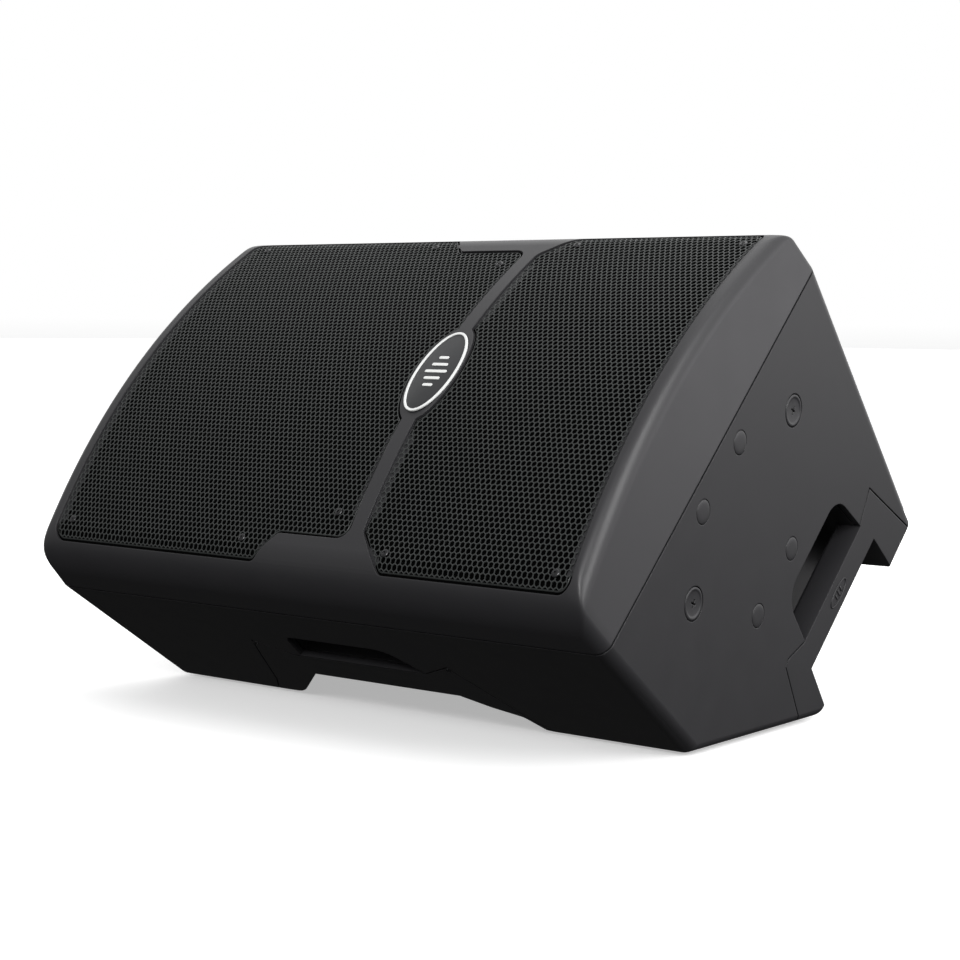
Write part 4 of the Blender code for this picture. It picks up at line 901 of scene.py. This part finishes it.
def build_grilles():
    """Both perforated grilles, each with a near-black gasket strip in the gap round it, whose dark colour
    is painted shade for the shadow in that gap.
    """
    for part, outline in OUTLINES.items():
        # The gasket strip takes the near-black foam finish: painted shade where the gap round the grille
        # falls into shadow.
        bm = bmesh.new()
        section = [(0.0, -SHEET), (0.0, -0.0009), (SHADE_GASKET, -0.0009), (SHADE_GASKET, -0.0011)]
        section += [(LEDGE + 0.0015, -0.0011), (LEDGE + 0.0015, -SHEET)]
        rings = [[Vector((x, v, grille_top(v) + lift)) for x, v in grown(outline, -inward)]
                 for inward, lift in section]
        ring_faces(bm, rings, closed=True)
        piece(object_of(f"{part}_grille_shade_gasket", bm), "foam", sharp=20)
        outline = grown(outline, -SHADE_GASKET)
        points, faces = lattice_sheet(grown(outline, -RIM / 2))
        sheet = thickened(f"{part}_lattice", points, faces, grille_top, 0.0009)
        grille = merged(f"{part}_perforated_grille", [sheet, rim_band(f"{part}_rim", outline, grille_top)])
        piece(grille, "grille_steel", replaces=(f"{part}_grille",), sharp=20)


SCREW_PLACES = {
    "woofer": [
        (-0.2967, 0.192), (-0.0566, 0.1925), (0.0504, 0.1594),
        (0.0469, -0.1573), (-0.06, -0.1904), (-0.3015, -0.189)
    ],
    "horn": [(0.1221, 0.1925), (0.3126, 0.1891), (0.3091, -0.1939), (0.1194, -0.1918)],
}


def screw(name, place, radius=0.0040, height=0.0013, recess=0.0017):
    """A low domed screw head with a six-sided recess, its Z outward from the surface it holds."""
    rows = 5
    dome = []
    for k in range(rows + 1):
        t = math.pi / 2 * k / rows
        dome.append((radius * math.cos(t), height * (0.25 + 0.75 * math.sin(t))))
    head = lathe(name, [(0, -0.0006), (radius, -0.0006), *dome[:-1], (0, height)], 28)
    turns = [math.tau * k / 6 for k in range(6)]
    hexagon = [(recess * math.cos(t), recess * math.sin(t)) for t in turns]
    joined_by(head, prism(f"{name}_recess", hexagon, "XY", height * 0.25, 0.01))
    head.data.transform(place)
    return head


def surface_frame(x, v, lift=0.0):
    """A frame on the front surface with Z along its normal."""
    step = 0.0005
    slope = (grille_top(v + step) - grille_top(v - step)) / (2 * step)
    normal = Vector((0, -slope, 1)).normalized()
    turn = normal.to_track_quat("Z", "X").to_matrix().to_4x4()
    return Matrix.Translation((x, v, grille_top(v) + lift)) @ turn


def build_grille_screws():
    """The small screws that hold the grilles."""
    for part, places in SCREW_PLACES.items():
        for i, (x, v) in enumerate(places, 1):
            piece(screw(f"{part}_grille_screw_{i}", surface_frame(x, v)), "black_screw")


# ---- badge -------------------------------------------------------------------------------------
BADGE_RING = (
    (0.0, -0.0005), (0.0, 0.0007), (0.0004, 0.0011), (0.0024, 0.0011), (0.0028, 0.0007), (0.0028, -0.0005)
)


def build_badge():
    """A raised oval ring on a dark plate, with five bars across it as a mark."""
    base = front_height(0) - 0.0012
    plate = prism("badge_plate", badge_oval(-0.0003), "XY", base, front_height(0) + 0.0002)
    piece(soften(plate, 0.0003, 2), "badge_silver", finish=BADGE_FACE)
    rings = []
    for inset, lift in BADGE_RING:
        rings.append([Vector((x, v, front_height(0) + lift)) for x, v in badge_oval(-inset)])
    bm = bmesh.new()
    ring_faces(bm, rings, closed=True)
    piece(object_of("badge_ring", bm), "badge_silver", replaces=("badge",))
    bars = []
    for k in range(-2, 3):
        half = 0.0130 - 0.0036 * abs(k)
        v = 0.0085 * k
        bar = rounded([(STRIP_X - half, v - 0.0017, 0.0016), (STRIP_X + half, v - 0.0017, 0.0016),
                       (STRIP_X + half, v + 0.0017, 0.0016), (STRIP_X - half, v + 0.0017, 0.0016)], 4)
        raised = prism(f"mark_{k}", bar, "XY", front_height(0), front_height(0) + 0.0009)
        bars.append(soften(raised, 0.0002, 1))
    piece(merged("badge_mark", bars), "badge_silver")


def side_face_frame(x, depth):
    """A frame on the lower side of the body, its Z outward."""
    normal = Vector((0, -KNEE_DEPTH, -KNEE_INSET)).normalized()
    turn = normal.to_track_quat("Z", "X").to_matrix().to_4x4()
    return Matrix.Translation((x, -HALF_W + KNEE_INSET * depth / KNEE_DEPTH, -depth)) @ turn


def build_side_screws():
    """Two screws in the lower side that hold the rear housing's tongues."""
    for i, x in enumerate((-0.1242, 0.1221), 1):
        place = side_face_frame(x, 0.0738)
        piece(screw(f"side_screw_{i}", place, radius=0.0036, height=0.0009, recess=0.0016), "black_screw")


def build_grip_mark():
    """A raised oval with three bars, on the outside of the upper grip."""
    depth = (TOP_OPENING[1] + TOP_BAR) / 2
    tilt = Matrix.Rotation(math.pi / 2 + math.atan(END_DRAFT), 4, "Y")
    place = Matrix.Translation((end_x(depth), 0.066, -depth)) @ tilt
    section = [(0.0, -0.0003), (0.0, 0.0006), (0.0004, 0.0009), (0.0010, 0.0009), (0.0014, 0.0006)]
    section += [(0.0014, -0.0003)]
    bm = bmesh.new()
    rings = []
    turns = [math.tau * k / 64 for k in range(64)]
    for inset, lift in section:
        half_x, half_y = 0.0075 - inset, 0.0185 - inset
        rings.append([Vector((half_x * math.cos(t), half_y * math.sin(t), lift)) for t in turns])
    ring_faces(bm, rings, closed=True)
    parts = [object_of("grip_ring", bm)]
    for y, half in ((-0.0055, 0.0034), (0.0, 0.0044), (0.0055, 0.0034)):
        bar = block("grip_bar", (-half, y - 0.0009, -0.0003), (half, y + 0.0009, 0.0008))
        parts.append(soften(bar, 0.0003))
    piece(merged("grip_oval", parts), "cabinet_plastic", place=CABINET @ place)


# ---- hardware in the end faces -----------------------------------------------------------------
def build_hardware():
    """Fly-point plugs, domed plugs and rubber feet."""
    for i in (1, 2):
        head = [(0, -0.026), (0.005, -0.026), (0.005, -0.0026), (0.0149, -0.0026), (0.0149, -0.0006)]
        head += [(0.0146, -0.0001), (0.0140, 0.0002), (0.0134, 0.0003), (0.0124, 0.0003), (0.0120, 0.0001)]
        head += [(0.0114, -0.0003), (0.0108, -0.0004), (0, -0.0004)]
        bolt = lathe(f"rigging_plug_{i}", head, 56)
        for turn in (0.4, 0.4 + math.pi / 2):
            arm = block("arm", (-0.0042, -0.0008, -0.0030), (0.0042, 0.0008, 0.01))
            arm.data.transform(Matrix.Rotation(turn, 4, "Z"))
            joined_by(bolt, arm)
        piece(bolt, "black_screw", replaces=(f"rigging_bolt_{i}",), finish=FINISH["cabinet_plastic"],
              place=CABINET @ axis_frame(f"rigging_bolt_{i}"))
    for i in range(1, 5):
        dome = [(0, -0.0016), (0.0109, -0.0016), (0.0109, -0.0003), (0.0106, 0.0001), (0.0098, 0.0003)]
        dome += [(0.0080, 0.0005), (0.0050, 0.0006), (0, 0.0006)]
        plug = lathe(f"domed_plug_{i}", dome, 40)
        place = CABINET @ axis_frame(f"top_plug_{i}")
        piece(plug, "cabinet_plastic", replaces=(f"top_plug_{i}",), place=place)
        pad = [(0, -0.0021), (0.013, -0.0021), (0.013, 0.0030), (0.0126, 0.0037), (0.0115, 0.0042)]
        pad += [(0.0055, 0.0042), (0.0045, 0.0030), (0, 0.0030)]
        piece(lathe(f"bottom_pad_{i}", pad, 40), "rubber", replaces=(f"bottom_foot_{i}",),
              place=CABINET @ axis_frame(f"bottom_foot_{i}"))
        pad = [(0, -0.0021), (0.013, -0.0021), (0.013, 0.0016), (0.0127, 0.0022), (0.0120, 0.0025)]
        pad += [(0.0055, 0.0025), (0.0048, 0.0014), (0, 0.0014)]
        piece(lathe(f"floor_pad_{i}", pad, 40), "rubber", replaces=(f"floor_foot_{i}",),
              place=CABINET @ foot_frame(f"floor_foot_{i}"))


def build_pole_socket():
    """The collar and blind bore for a stand's pole, with a lead-in and two ribs in the collar."""
    low, high = span("pole_socket")
    rim = (high.y - low.y) / 2
    bore = rim - 0.0120
    cup = [(0, -0.085), (bore + 0.0028, -0.085), (bore + 0.0028, -0.0030), (rim, -0.0030), (rim, -0.0006)]
    cup += [(rim - 0.0006, 0.0), (rim - 0.0035, 0.0), (rim - 0.0040, -0.0006), (rim - 0.0048, -0.0006)]
    cup += [(rim - 0.0053, 0.0), (bore + 0.0018, 0.0), (bore + 0.0006, -0.0005), (bore, -0.0018)]
    cup += [(bore, -0.082), (0, -0.082)]
    place = CABINET @ axis_frame("pole_socket")
    piece(lathe("pole_cup", cup, 80), "connector", replaces=("pole_socket",), place=place)


# ---- woofer, horn and ports --------------------------------------------------------------------
SECTORS = 12


def woofer_frame():
    """The woofer's axis: its middle on the front of the deck, Z along the travel."""
    low, high = span("woofer_basket")
    return Matrix.Translation(((low.x + high.x) / 2, (low.y + high.y) / 2, DECK_FRONT))


def roll_profile(lip_in, lip_out, half, height, steps=16):
    """The half round of the surround, from the cone's lip to the frame's."""
    points = []
    for k in range(steps + 1):
        t = math.pi * k / steps
        rise = lip_in + (lip_out - lip_in) * k / steps
        points.append((0.1605 - half * math.cos(t), rise + height * math.sin(t)))
    return points


def ripple_profile(lift, waves=5, steps=60):
    """The spider's corrugations, from the frame's ledge to the coil."""
    outer, inner, level = 0.0815, 0.0393, -0.0656 + lift
    points = [(0.0925, level), (outer, level)]
    for k in range(1, steps):
        share = k / steps
        height = level + 0.0010 * (1 - math.cos(math.tau * waves * share))
        points.append((outer + (inner - outer) * share, height))
    return points + [(inner, level)]


def bending_ring(name, node, profile, slot):
    """A soft ring between cone and cabinet, made as separate sectors of its turned profile."""
    place = CABINET @ woofer_frame()
    for k in range(SECTORS):
        sweep = math.tau / SECTORS
        sector = lathe(f"{name}_{k + 1}", profile, 8, start=sweep * k, sweep=sweep)
        piece(sector, slot, body=None, replaces=(node,) if k == 0 else (), place=place, sharp=50)
        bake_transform(sector)


def build_woofer():
    """Cone, dust cap and the soft parts that carry them."""
    place = CABINET @ woofer_frame()
    outside = [(0.1460, -0.0027)] + roll_profile(-0.0027, 0.0068, 0.0085, 0.0090) + [(0.1785, 0.0068)]
    inside_line = [(0.1460, -0.0036)] + roll_profile(-0.0036, 0.0059, 0.0076, 0.0082) + [(0.1785, 0.0059)]
    section = outside + inside_line[::-1]
    bending_ring("surround", "woofer_surround", section, "treated_cloth")
    spider = ripple_profile(0.0008) + ripple_profile(0.0)[::-1]
    bending_ring("spider", "woofer_spider", spider, "treated_cloth")
    cone = []
    for k in range(25):
        share = k / 24
        radius = 0.0393 + (0.1455 - 0.0393) * share
        cone.append((radius, -0.0530 + 0.0488 * math.sin(math.pi / 2 * share) ** 0.92))
    for ridge in (0.30, 0.62):
        middle_radius = 0.0393 + 0.1062 * ridge
        cone = [(r, z + 0.0004 * math.exp(-((r - middle_radius) / 0.0018) ** 2)) for r, z in cone]
    cone.append((0.1515, -0.0041))
    back = [(r, z - 0.0013) for r, z in reversed(cone)]
    pulp_cone = lathe("pulp_cone", cone + back, 120)
    piece(pulp_cone, "paper", "cone", replaces=("woofer_cone",), place=place, sharp=50)
    turns = [math.pi / 2 * k / 16 for k in range(17)]
    dome = [(0.046 * math.sin(t), -0.0475 + 0.019 * math.cos(t)) for t in turns]
    shell = [(r * 0.975, z - 0.0009) for r, z in dome]
    cap = lathe("dust_dome", dome + shell[:0:-1] + [(0, shell[0][1])], 96)
    piece(cap, "paper", "cone", replaces=("woofer_dust_cap",), place=place, sharp=60)


# ---- rear panel --------------------------------------------------------------------------------
PANEL_FRAME = Matrix.Translation((PANEL_X, PANEL_V, -PANEL_FACE)) @ Matrix.Rotation(math.pi, 4, "X")
FLANGE = (0.0155, 0.0130)
FLANGE_TOP = 0.0026
SOCKET_RADIUS = 0.0119


def on_panel(node):
    """The frame of a part of the rear panel: X up the cabinet, Z out of the panel, on its face."""
    centre = PANEL_FRAME.inverted() @ middle(node)
    return PANEL_FRAME @ Matrix.Translation((centre.x, centre.y, 0))


def plate(name, half_x, half_y, corner, low, high, edge=0.0004):
    corners = ((-half_x, -half_y), (half_x, -half_y), (half_x, half_y), (-half_x, half_y))
    outline = rounded([(x, y, corner) for x, y in corners])
    return soften(prism(name, outline, "XY", low, high), edge, 2)


def socket_piece(name, node, inner, screws, slot_for_latch=False):
    """A connector's flange with its turned socket and its screws."""
    place = CABINET @ on_panel(node)
    base = plate(name, *FLANGE, 0.0020, GAP, FLANGE_TOP)
    joined_by(base, lathe("socket_room", [(0, -0.01), (0.0118, -0.01), (0.0118, 0.01), (0, 0.01)], 48))
    barrel = [(0, -0.024), (SOCKET_RADIUS, -0.024), (SOCKET_RADIUS, 0.0032)]
    barrel.append((SOCKET_RADIUS - 0.0004, 0.0036))
    turned = lathe("barrel", barrel + inner, 64)
    if slot_for_latch:
        for part in (base, turned):
            joined_by(part, block("latch_slot", (0.0088, -0.0042, -0.02), (0.0136, 0.0042, 0.02)))
    piece(merged(name, [base, turned]), "connector", replaces=(node,), place=place)
    for k, (x, y) in enumerate(screws, 1):
        spot = Matrix.Translation((x, y, FLANGE_TOP))
        head = screw(f"{name}_screw_{k}", spot, radius=0.0026, height=0.0008, recess=0.0012)
        piece(head, "black_screw", place=place)


def build_sockets():
    corners = ((-0.0122, 0.0098), (0.0122, -0.0098))
    combo = [(0.0096, 0.0036), (0.0092, 0.0032), (0.0092, -0.016), (0.0060, -0.016), (0.0060, 0.0004)]
    combo += [(0.0056, 0.0008), (0.0036, 0.0008), (0.0033, 0.0005), (0.0033, -0.014), (0, -0.014)]
    for i in (1, 2):
        node = f"input_jack_{i}"
        socket_piece(f"combo_socket_{i}", node, combo, corners, slot_for_latch=True)
        contacts = []
        for turn in (0.0, math.tau / 3, -math.tau / 3):
            sleeve = [(0.0005, -0.0155), (0.0010, -0.0155), (0.0010, -0.0020), (0.0005, -0.0020)]
            contact = lathe("contact", sleeve, 16)
            spot = (-0.0076 * math.cos(turn), 0.0076 * math.sin(turn), 0)
            contact.data.transform(Matrix.Translation(spot))
            contacts.append(contact)
        piece(merged(f"contacts_{i}", contacts), "zinc", finish=GOLD_PIN, place=CABINET @ on_panel(node))
    cup = [(0.0104, 0.0036), (0.0100, 0.0032), (0.0100, -0.014), (0, -0.014)]
    socket_piece("link_socket", "link_jack", cup, corners)
    pins = []
    for k in range(3):
        turn = math.pi / 2 + math.tau * k / 3
        profile = [(0, -0.0145), (0.0012, -0.0145), (0.0012, -0.0028), (0.0009, -0.0021), (0, -0.0019)]
        pin = lathe("pin", profile, 20)
        pin.data.transform(Matrix.Translation((0.0052 * math.sin(turn), 0.0052 * math.cos(turn), 0)))
        pins.append(pin)
    piece(merged("link_pins", pins), "zinc", finish=GOLD_PIN, place=CABINET @ on_panel("link_jack"))
    inlet = CABINET @ on_panel("mains_inlet")
    blades = [
        block("blade", (a - 0.00208, b - 0.00108, -0.0172), (a + 0.00208, b + 0.00108, -0.0028))
        for a, b in ((-0.002, -0.007), (0.002, 0.0), (-0.002, 0.007))
    ]
    piece(merged("inlet_blades", blades), "zinc", place=inlet)
    for k, y in enumerate((-0.0178, 0.0178), 1):
        spot = Matrix.Translation((0, y, 0.0028))
        head = screw(f"inlet_screw_{k}", spot, radius=0.0027, height=0.0008, recess=0.0012)
        piece(head, "black_screw", place=inlet)


def fluted(name, radius, low, high, flutes, depth, cap):
    """A knob turned and fluted round its side, with a rounded top edge and a shallow dish."""
    steps = flutes * 6
    rows = [(1.0, 1.0, low), (1.0, 1.0, high - 0.0010), (0.975, 0.6, high - 0.0003), (0.93, 0.0, high)]
    rows += [(cap, 0.0, high), (cap - 0.06, 0.0, high - 0.0005), (0.02, 0.0, high - 0.0005)]
    bm = bmesh.new()
    rings = []
    for scale, cut, z in rows:
        ring = []
        for k in range(steps):
            turn = math.tau * k / steps
            r = radius * scale - cut * depth * (0.5 + 0.5 * math.cos(flutes * turn))
            ring.append(Vector((r * math.cos(turn), r * math.sin(turn), z)))
        rings.append(ring)
    made = ring_faces(bm, rings)
    bm.faces.new(made[0])
    bm.faces.new(made[-1])
    return object_of(name, bm)


def build_controls():
    """Gain knobs with pointers, the encoder, the rocker's marks and the screen's picture."""
    for i in (1, 2):
        node, body = f"gain_knob_{i}", f"gain_{i}"
        place = CABINET @ on_panel(node)
        knob = fluted(f"gain_dial_{i}", 0.0085, 0.0010, 0.0130, 20, 0.0005, 0.70)
        shaft = lathe("shaft", [(0, -0.010), (0.0032, -0.010), (0.0032, 0.0012), (0, 0.0012)], 32)
        piece(merged(f"gain_dial_{i}", [knob, shaft]), "knob", body, replaces=(node,), place=place)
        lines = [block("top_line", (0.0030, -0.00045, 0.0120), (0.0080, 0.00045, 0.01312)),
                 block("side_line", (0.0074, -0.00045, 0.0035), (0.0086, 0.00045, 0.0121))]
        piece(merged(f"gain_pointer_{i}", lines), "knob", body, finish=PRINT, place=place)
    place = CABINET @ on_panel("encoder_knob")
    cap = fluted("encoder_dial_cap", 0.0118, 0.0036, 0.0160, 28, 0.0005, 0.82)
    piece(cap, "knob", "encoder_dial", replaces=("encoder_knob",), place=place)
    place = CABINET @ on_panel("display_window")
    marks = [block("bar", (0.0098, -0.0270, 0.0002), (0.0104, 0.0270, 0.00036))]
    for row, a in enumerate((0.0050, -0.0005)):
        for k in range(16):
            tall = 0.0016 if k < 11 - 3 * row else 0.0005
            y = 0.0255 - 0.0034 * k
            marks.append(block("cell", (a - tall, y - 0.0012, 0.0002), (a + tall, y + 0.0012, 0.00036)))
    for k in range(4):
        y = 0.0200 - 0.0135 * k
        marks.append(block("key", (-0.0115, y - 0.0045, 0.0002), (-0.0080, y + 0.0045, 0.00036)))
    piece(merged("screen_marks", marks), "display", finish=SCREEN_MARKS, place=place)
    pivot = CABINET @ on_panel("switch_rocker")
    lean = Matrix.Rotation(math.radians(10), 4, "Y")
    for name, x, turn in (("on_mark", 0.0065, -14), ("off_mark", -0.0065, 14)):
        if name == "on_mark":
            mark = block(name, (-0.0018, -0.0004, -0.0002), (0.0018, 0.0004, 0.00018))
        else:
            circle = [(0.0011, -0.0002), (0.0018, -0.0002), (0.0018, 0.00018), (0.0011, 0.00018)]
            mark = lathe(name, circle, 32)
        on_face = Matrix.Translation((x, 0, 0.0074)) @ Matrix.Rotation(math.radians(turn), 4, "Y")
        spot = pivot @ Matrix.Translation((0, 0, -0.0040)) @ lean @ on_face
        piece(mark, "knob", "rocker", finish=PRINT, place=spot)


def printed_line(start, end, width=0.0005):
    """A printed line between two (up, right) places on the panel."""
    a, b = Vector((start[0], -start[1], 0)), Vector((end[0], -end[1], 0))
    along = b - a
    line = block("line", (0, -width / 2, -0.0001), (along.length, width / 2, 0.00012))
    line.data.transform(Matrix.Translation(a) @ Matrix.Rotation(math.atan2(along.y, along.x), 4, "Z"))
    return line


def panel_place(node):
    """Where a part stands on the panel, as (up, right) from its middle."""
    centre = PANEL_FRAME.inverted() @ middle(node)
    return centre.x, -centre.y


def printed_frame(low, high, left, right, width):
    """Four printed lines round a field of the panel."""
    corners = [(low, left), (high, left), (high, right), (low, right)]
    return [printed_line(a, b, width) for a, b in zip(corners, corners[1:] + corners[:1])]


def build_print():
    """Scales, frames and flow lines printed on the panel, with no lettering."""
    lines = []
    for i in (1, 2):
        up, right = panel_place(f"gain_knob_{i}")
        for k in range(11):
            turn = math.radians(-150 + 30 * k)
            near, far = (0.0103, 0.0124) if k % 5 == 0 else (0.0106, 0.0118)
            reach = [(up + r * math.cos(turn), right + r * math.sin(turn)) for r in (near, far)]
            lines.append(printed_line(*reach))
        jack_up, jack_right = panel_place(f"input_jack_{i}")
        low, high = jack_up - 0.0205, up + 0.0165
        lines += printed_frame(low, high, jack_right - 0.0190, jack_right + 0.0190, 0.0004)
        lines.append(printed_line((jack_up + 0.0165, jack_right), (up - 0.0135, jack_right), 0.0006))
    up, right = panel_place("link_jack")
    lines += printed_frame(up - 0.0205, up + 0.0235, right - 0.0190, right + 0.0190, 0.0004)
    arrow = [(up + 0.0180, right - 0.0030), (up + 0.0210, right), (up + 0.0180, right + 0.0030)]
    lines += [printed_line(a, b, 0.0007) for a, b in zip(arrow, arrow[1:])]
    up, right = panel_place("encoder_knob")
    for k in range(24):
        turn = math.tau * k / 24
        reach = [(up + r * math.cos(turn), right + r * math.sin(turn)) for r in (0.0142, 0.0152)]
        lines.append(printed_line(*reach, 0.0004))
    up, right = panel_place("display_window")
    lines += printed_frame(up - 0.0185, up + 0.0185, right - 0.0345, right + 0.0345, 0.0006)
    piece(merged("panel_print", lines), "panel_metal", finish=PRINT, place=CABINET @ PANEL_FRAME)


LAMP_PLACES = ((-0.058, -0.061), (-0.058, -0.013), (-0.132, 0.045))


def build_panel_details():
    """Small domed lamps, and the screws round the panel's edge."""
    for i, (up, right) in enumerate(LAMP_PLACES, 1):
        place = CABINET @ PANEL_FRAME @ Matrix.Translation((up, -right, 0))
        profile = [(0, -0.0002), (0.0015, -0.0002), (0.0015, 0.0005), (0.0010, 0.0011), (0, 0.0013)]
        dome = lathe(f"lamp_{i}", profile, 24)
        piece(dome, "display", finish=LAMP_GREEN, place=place)
    half_x, half_v = (PANEL_HIGH.x - PANEL_LOW.x) / 2 - 0.0045, (PANEL_HIGH.y - PANEL_LOW.y) / 2 - 0.0045
    places = [(x, y) for x in (-half_x, -half_x / 3, half_x / 3, half_x) for y in (-half_v, half_v)]
    places += [(-half_x, 0), (half_x, 0)]
    for i, (x, y) in enumerate(places, 1):
        spot = Matrix.Translation((x, y, 0))
        head = screw(f"panel_screw_{i}", spot, radius=0.0032, height=0.0013, recess=0.0014)
        piece(head, "black_screw", place=CABINET @ PANEL_FRAME)


# ---- stage -------------------------------------------------------------------------------------
def build_camera():
    """The camera stands to the right of the cabinet and a little above it."""
    corner = CABINET @ Vector((0, KNEE_V, -KNEE_DEPTH))
    place = Vector((2.0305 * LENGTH, -2.2865 * LENGTH + corner.y, 0.5466 * LENGTH + corner.z))
    pitch, yaw, roll = (math.radians(a) for a in (4.143, 39.835, 0.555))
    ahead = Vector((-math.sin(yaw) * math.cos(pitch), math.cos(yaw) * math.cos(pitch), -math.sin(pitch)))
    right = ahead.cross(Vector((0, 0, 1))).normalized()
    up = right.cross(ahead)
    turned_right = right * math.cos(roll) + up * math.sin(roll)
    turned_up = up * math.cos(roll) - right * math.sin(roll)
    data = bpy.data.cameras.new("camera")
    data.lens = 82.15
    data.sensor_width = 36
    camera = bpy.data.objects.new("camera", data)
    bpy.context.scene.collection.objects.link(camera)
    turn = Matrix((turned_right, turned_up, -ahead)).transposed()
    camera.matrix_world = Matrix.Translation(place) @ turn.to_4x4()
    bpy.context.scene.camera = camera


def softbox(name, place, target, size, power, color=(1, 1, 1)):
    """A rectangular lamp aimed at a target."""
    data = bpy.data.lights.new(name, "AREA")
    data.shape = "RECTANGLE"
    data.size, data.size_y = size
    data.energy = power
    data.color = color
    lamp = bpy.data.objects.new(name, data)
    bpy.context.scene.collection.objects.link(lamp)
    lamp.location = place
    lamp.rotation_euler = (Vector(target) - Vector(place)).to_track_quat("-Z", "Y").to_euler()


def build_stage():
    """A pale floor, soft lamps from the right and from above, and a dim sky that darkens downwards."""
    half = 30.0
    floor = block("floor", (-half, -half, -0.02), (half, half, 0.0))
    pale = procedural(
        "pale_floor", (0.9, 0.9, 0.9), 0.7, vary=0.01, patch=0.5, depth=0.0, edge=0.0, glow=0.47
    )
    floor.data.materials.append(pale)
    floor.visible_diffuse = False
    floor.visible_glossy = False
    middle_of_cabinet = (0, 0, 0.2)
    softbox("key_right", (2.6, -0.4, 1.9), middle_of_cabinet, (1.2, 1.2), 27)
    softbox("edge_right", (2.8, -0.15, 0.95), middle_of_cabinet, (0.7, 0.7), 13)
    softbox("front_right", (1.3, -2.6, 1.6), middle_of_cabinet, (1.6, 0.8), 50)
    softbox("back_right", (2.3, 1.9, 0.7), middle_of_cabinet, (1.2, 1.0), 6.5, (0.98, 0.95, 1.0))
    softbox("overhead", (0.2, 0.9, 3.0), middle_of_cabinet, (2.6, 1.6), 19)
    softbox("rear_low", (-1.2, 2.1, 0.25), middle_of_cabinet, (1.4, 0.5), 20)
    world = bpy.data.worlds.new("studio")
    bpy.context.scene.world = world
    world.use_nodes = True
    nodes, links = world.node_tree.nodes, world.node_tree.links
    nodes["Background"].inputs["Color"].default_value = (1, 1, 1, 1)
    where = nodes.new("ShaderNodeTexCoord")
    split = nodes.new("ShaderNodeSeparateXYZ")
    links.new(where.outputs["Generated"], split.inputs["Vector"])
    both = nodes.new("ShaderNodeMath")
    both.operation = "MULTIPLY"
    links.new(both.outputs["Value"], nodes["Background"].inputs["Strength"])
    slopes = {"Z": (-0.16, 0.0, 0.035, 1.0), "Y": (-0.5, 0.5, 0.3, 1.0)}
    for i, (axis, values) in enumerate(slopes.items()):
        ramp = nodes.new("ShaderNodeMapRange")
        for key, value in zip(("From Min", "From Max", "To Min", "To Max"), values):
            ramp.inputs[key].default_value = value
        links.new(split.outputs[axis], ramp.inputs["Value"])
        links.new(ramp.outputs["Result"], both.inputs[i])
    bpy.context.scene.view_settings.view_transform = "Standard"


def main():
    """Builds everything in order."""
    for obj in list(bpy.data.objects):
        if obj.name in ("Cube", "Light", "Camera"):
            bpy.data.objects.remove(obj)
    build_camera()
    paint_cad_nodes()
    build_front()
    build_body()
    build_grilles()
    build_grille_screws()
    build_badge()
    build_side_screws()
    build_grip_mark()
    build_hardware()
    build_pole_socket()
    build_woofer()
    build_sockets()
    build_controls()
    build_print()
    build_panel_details()
    build_stage()


main()
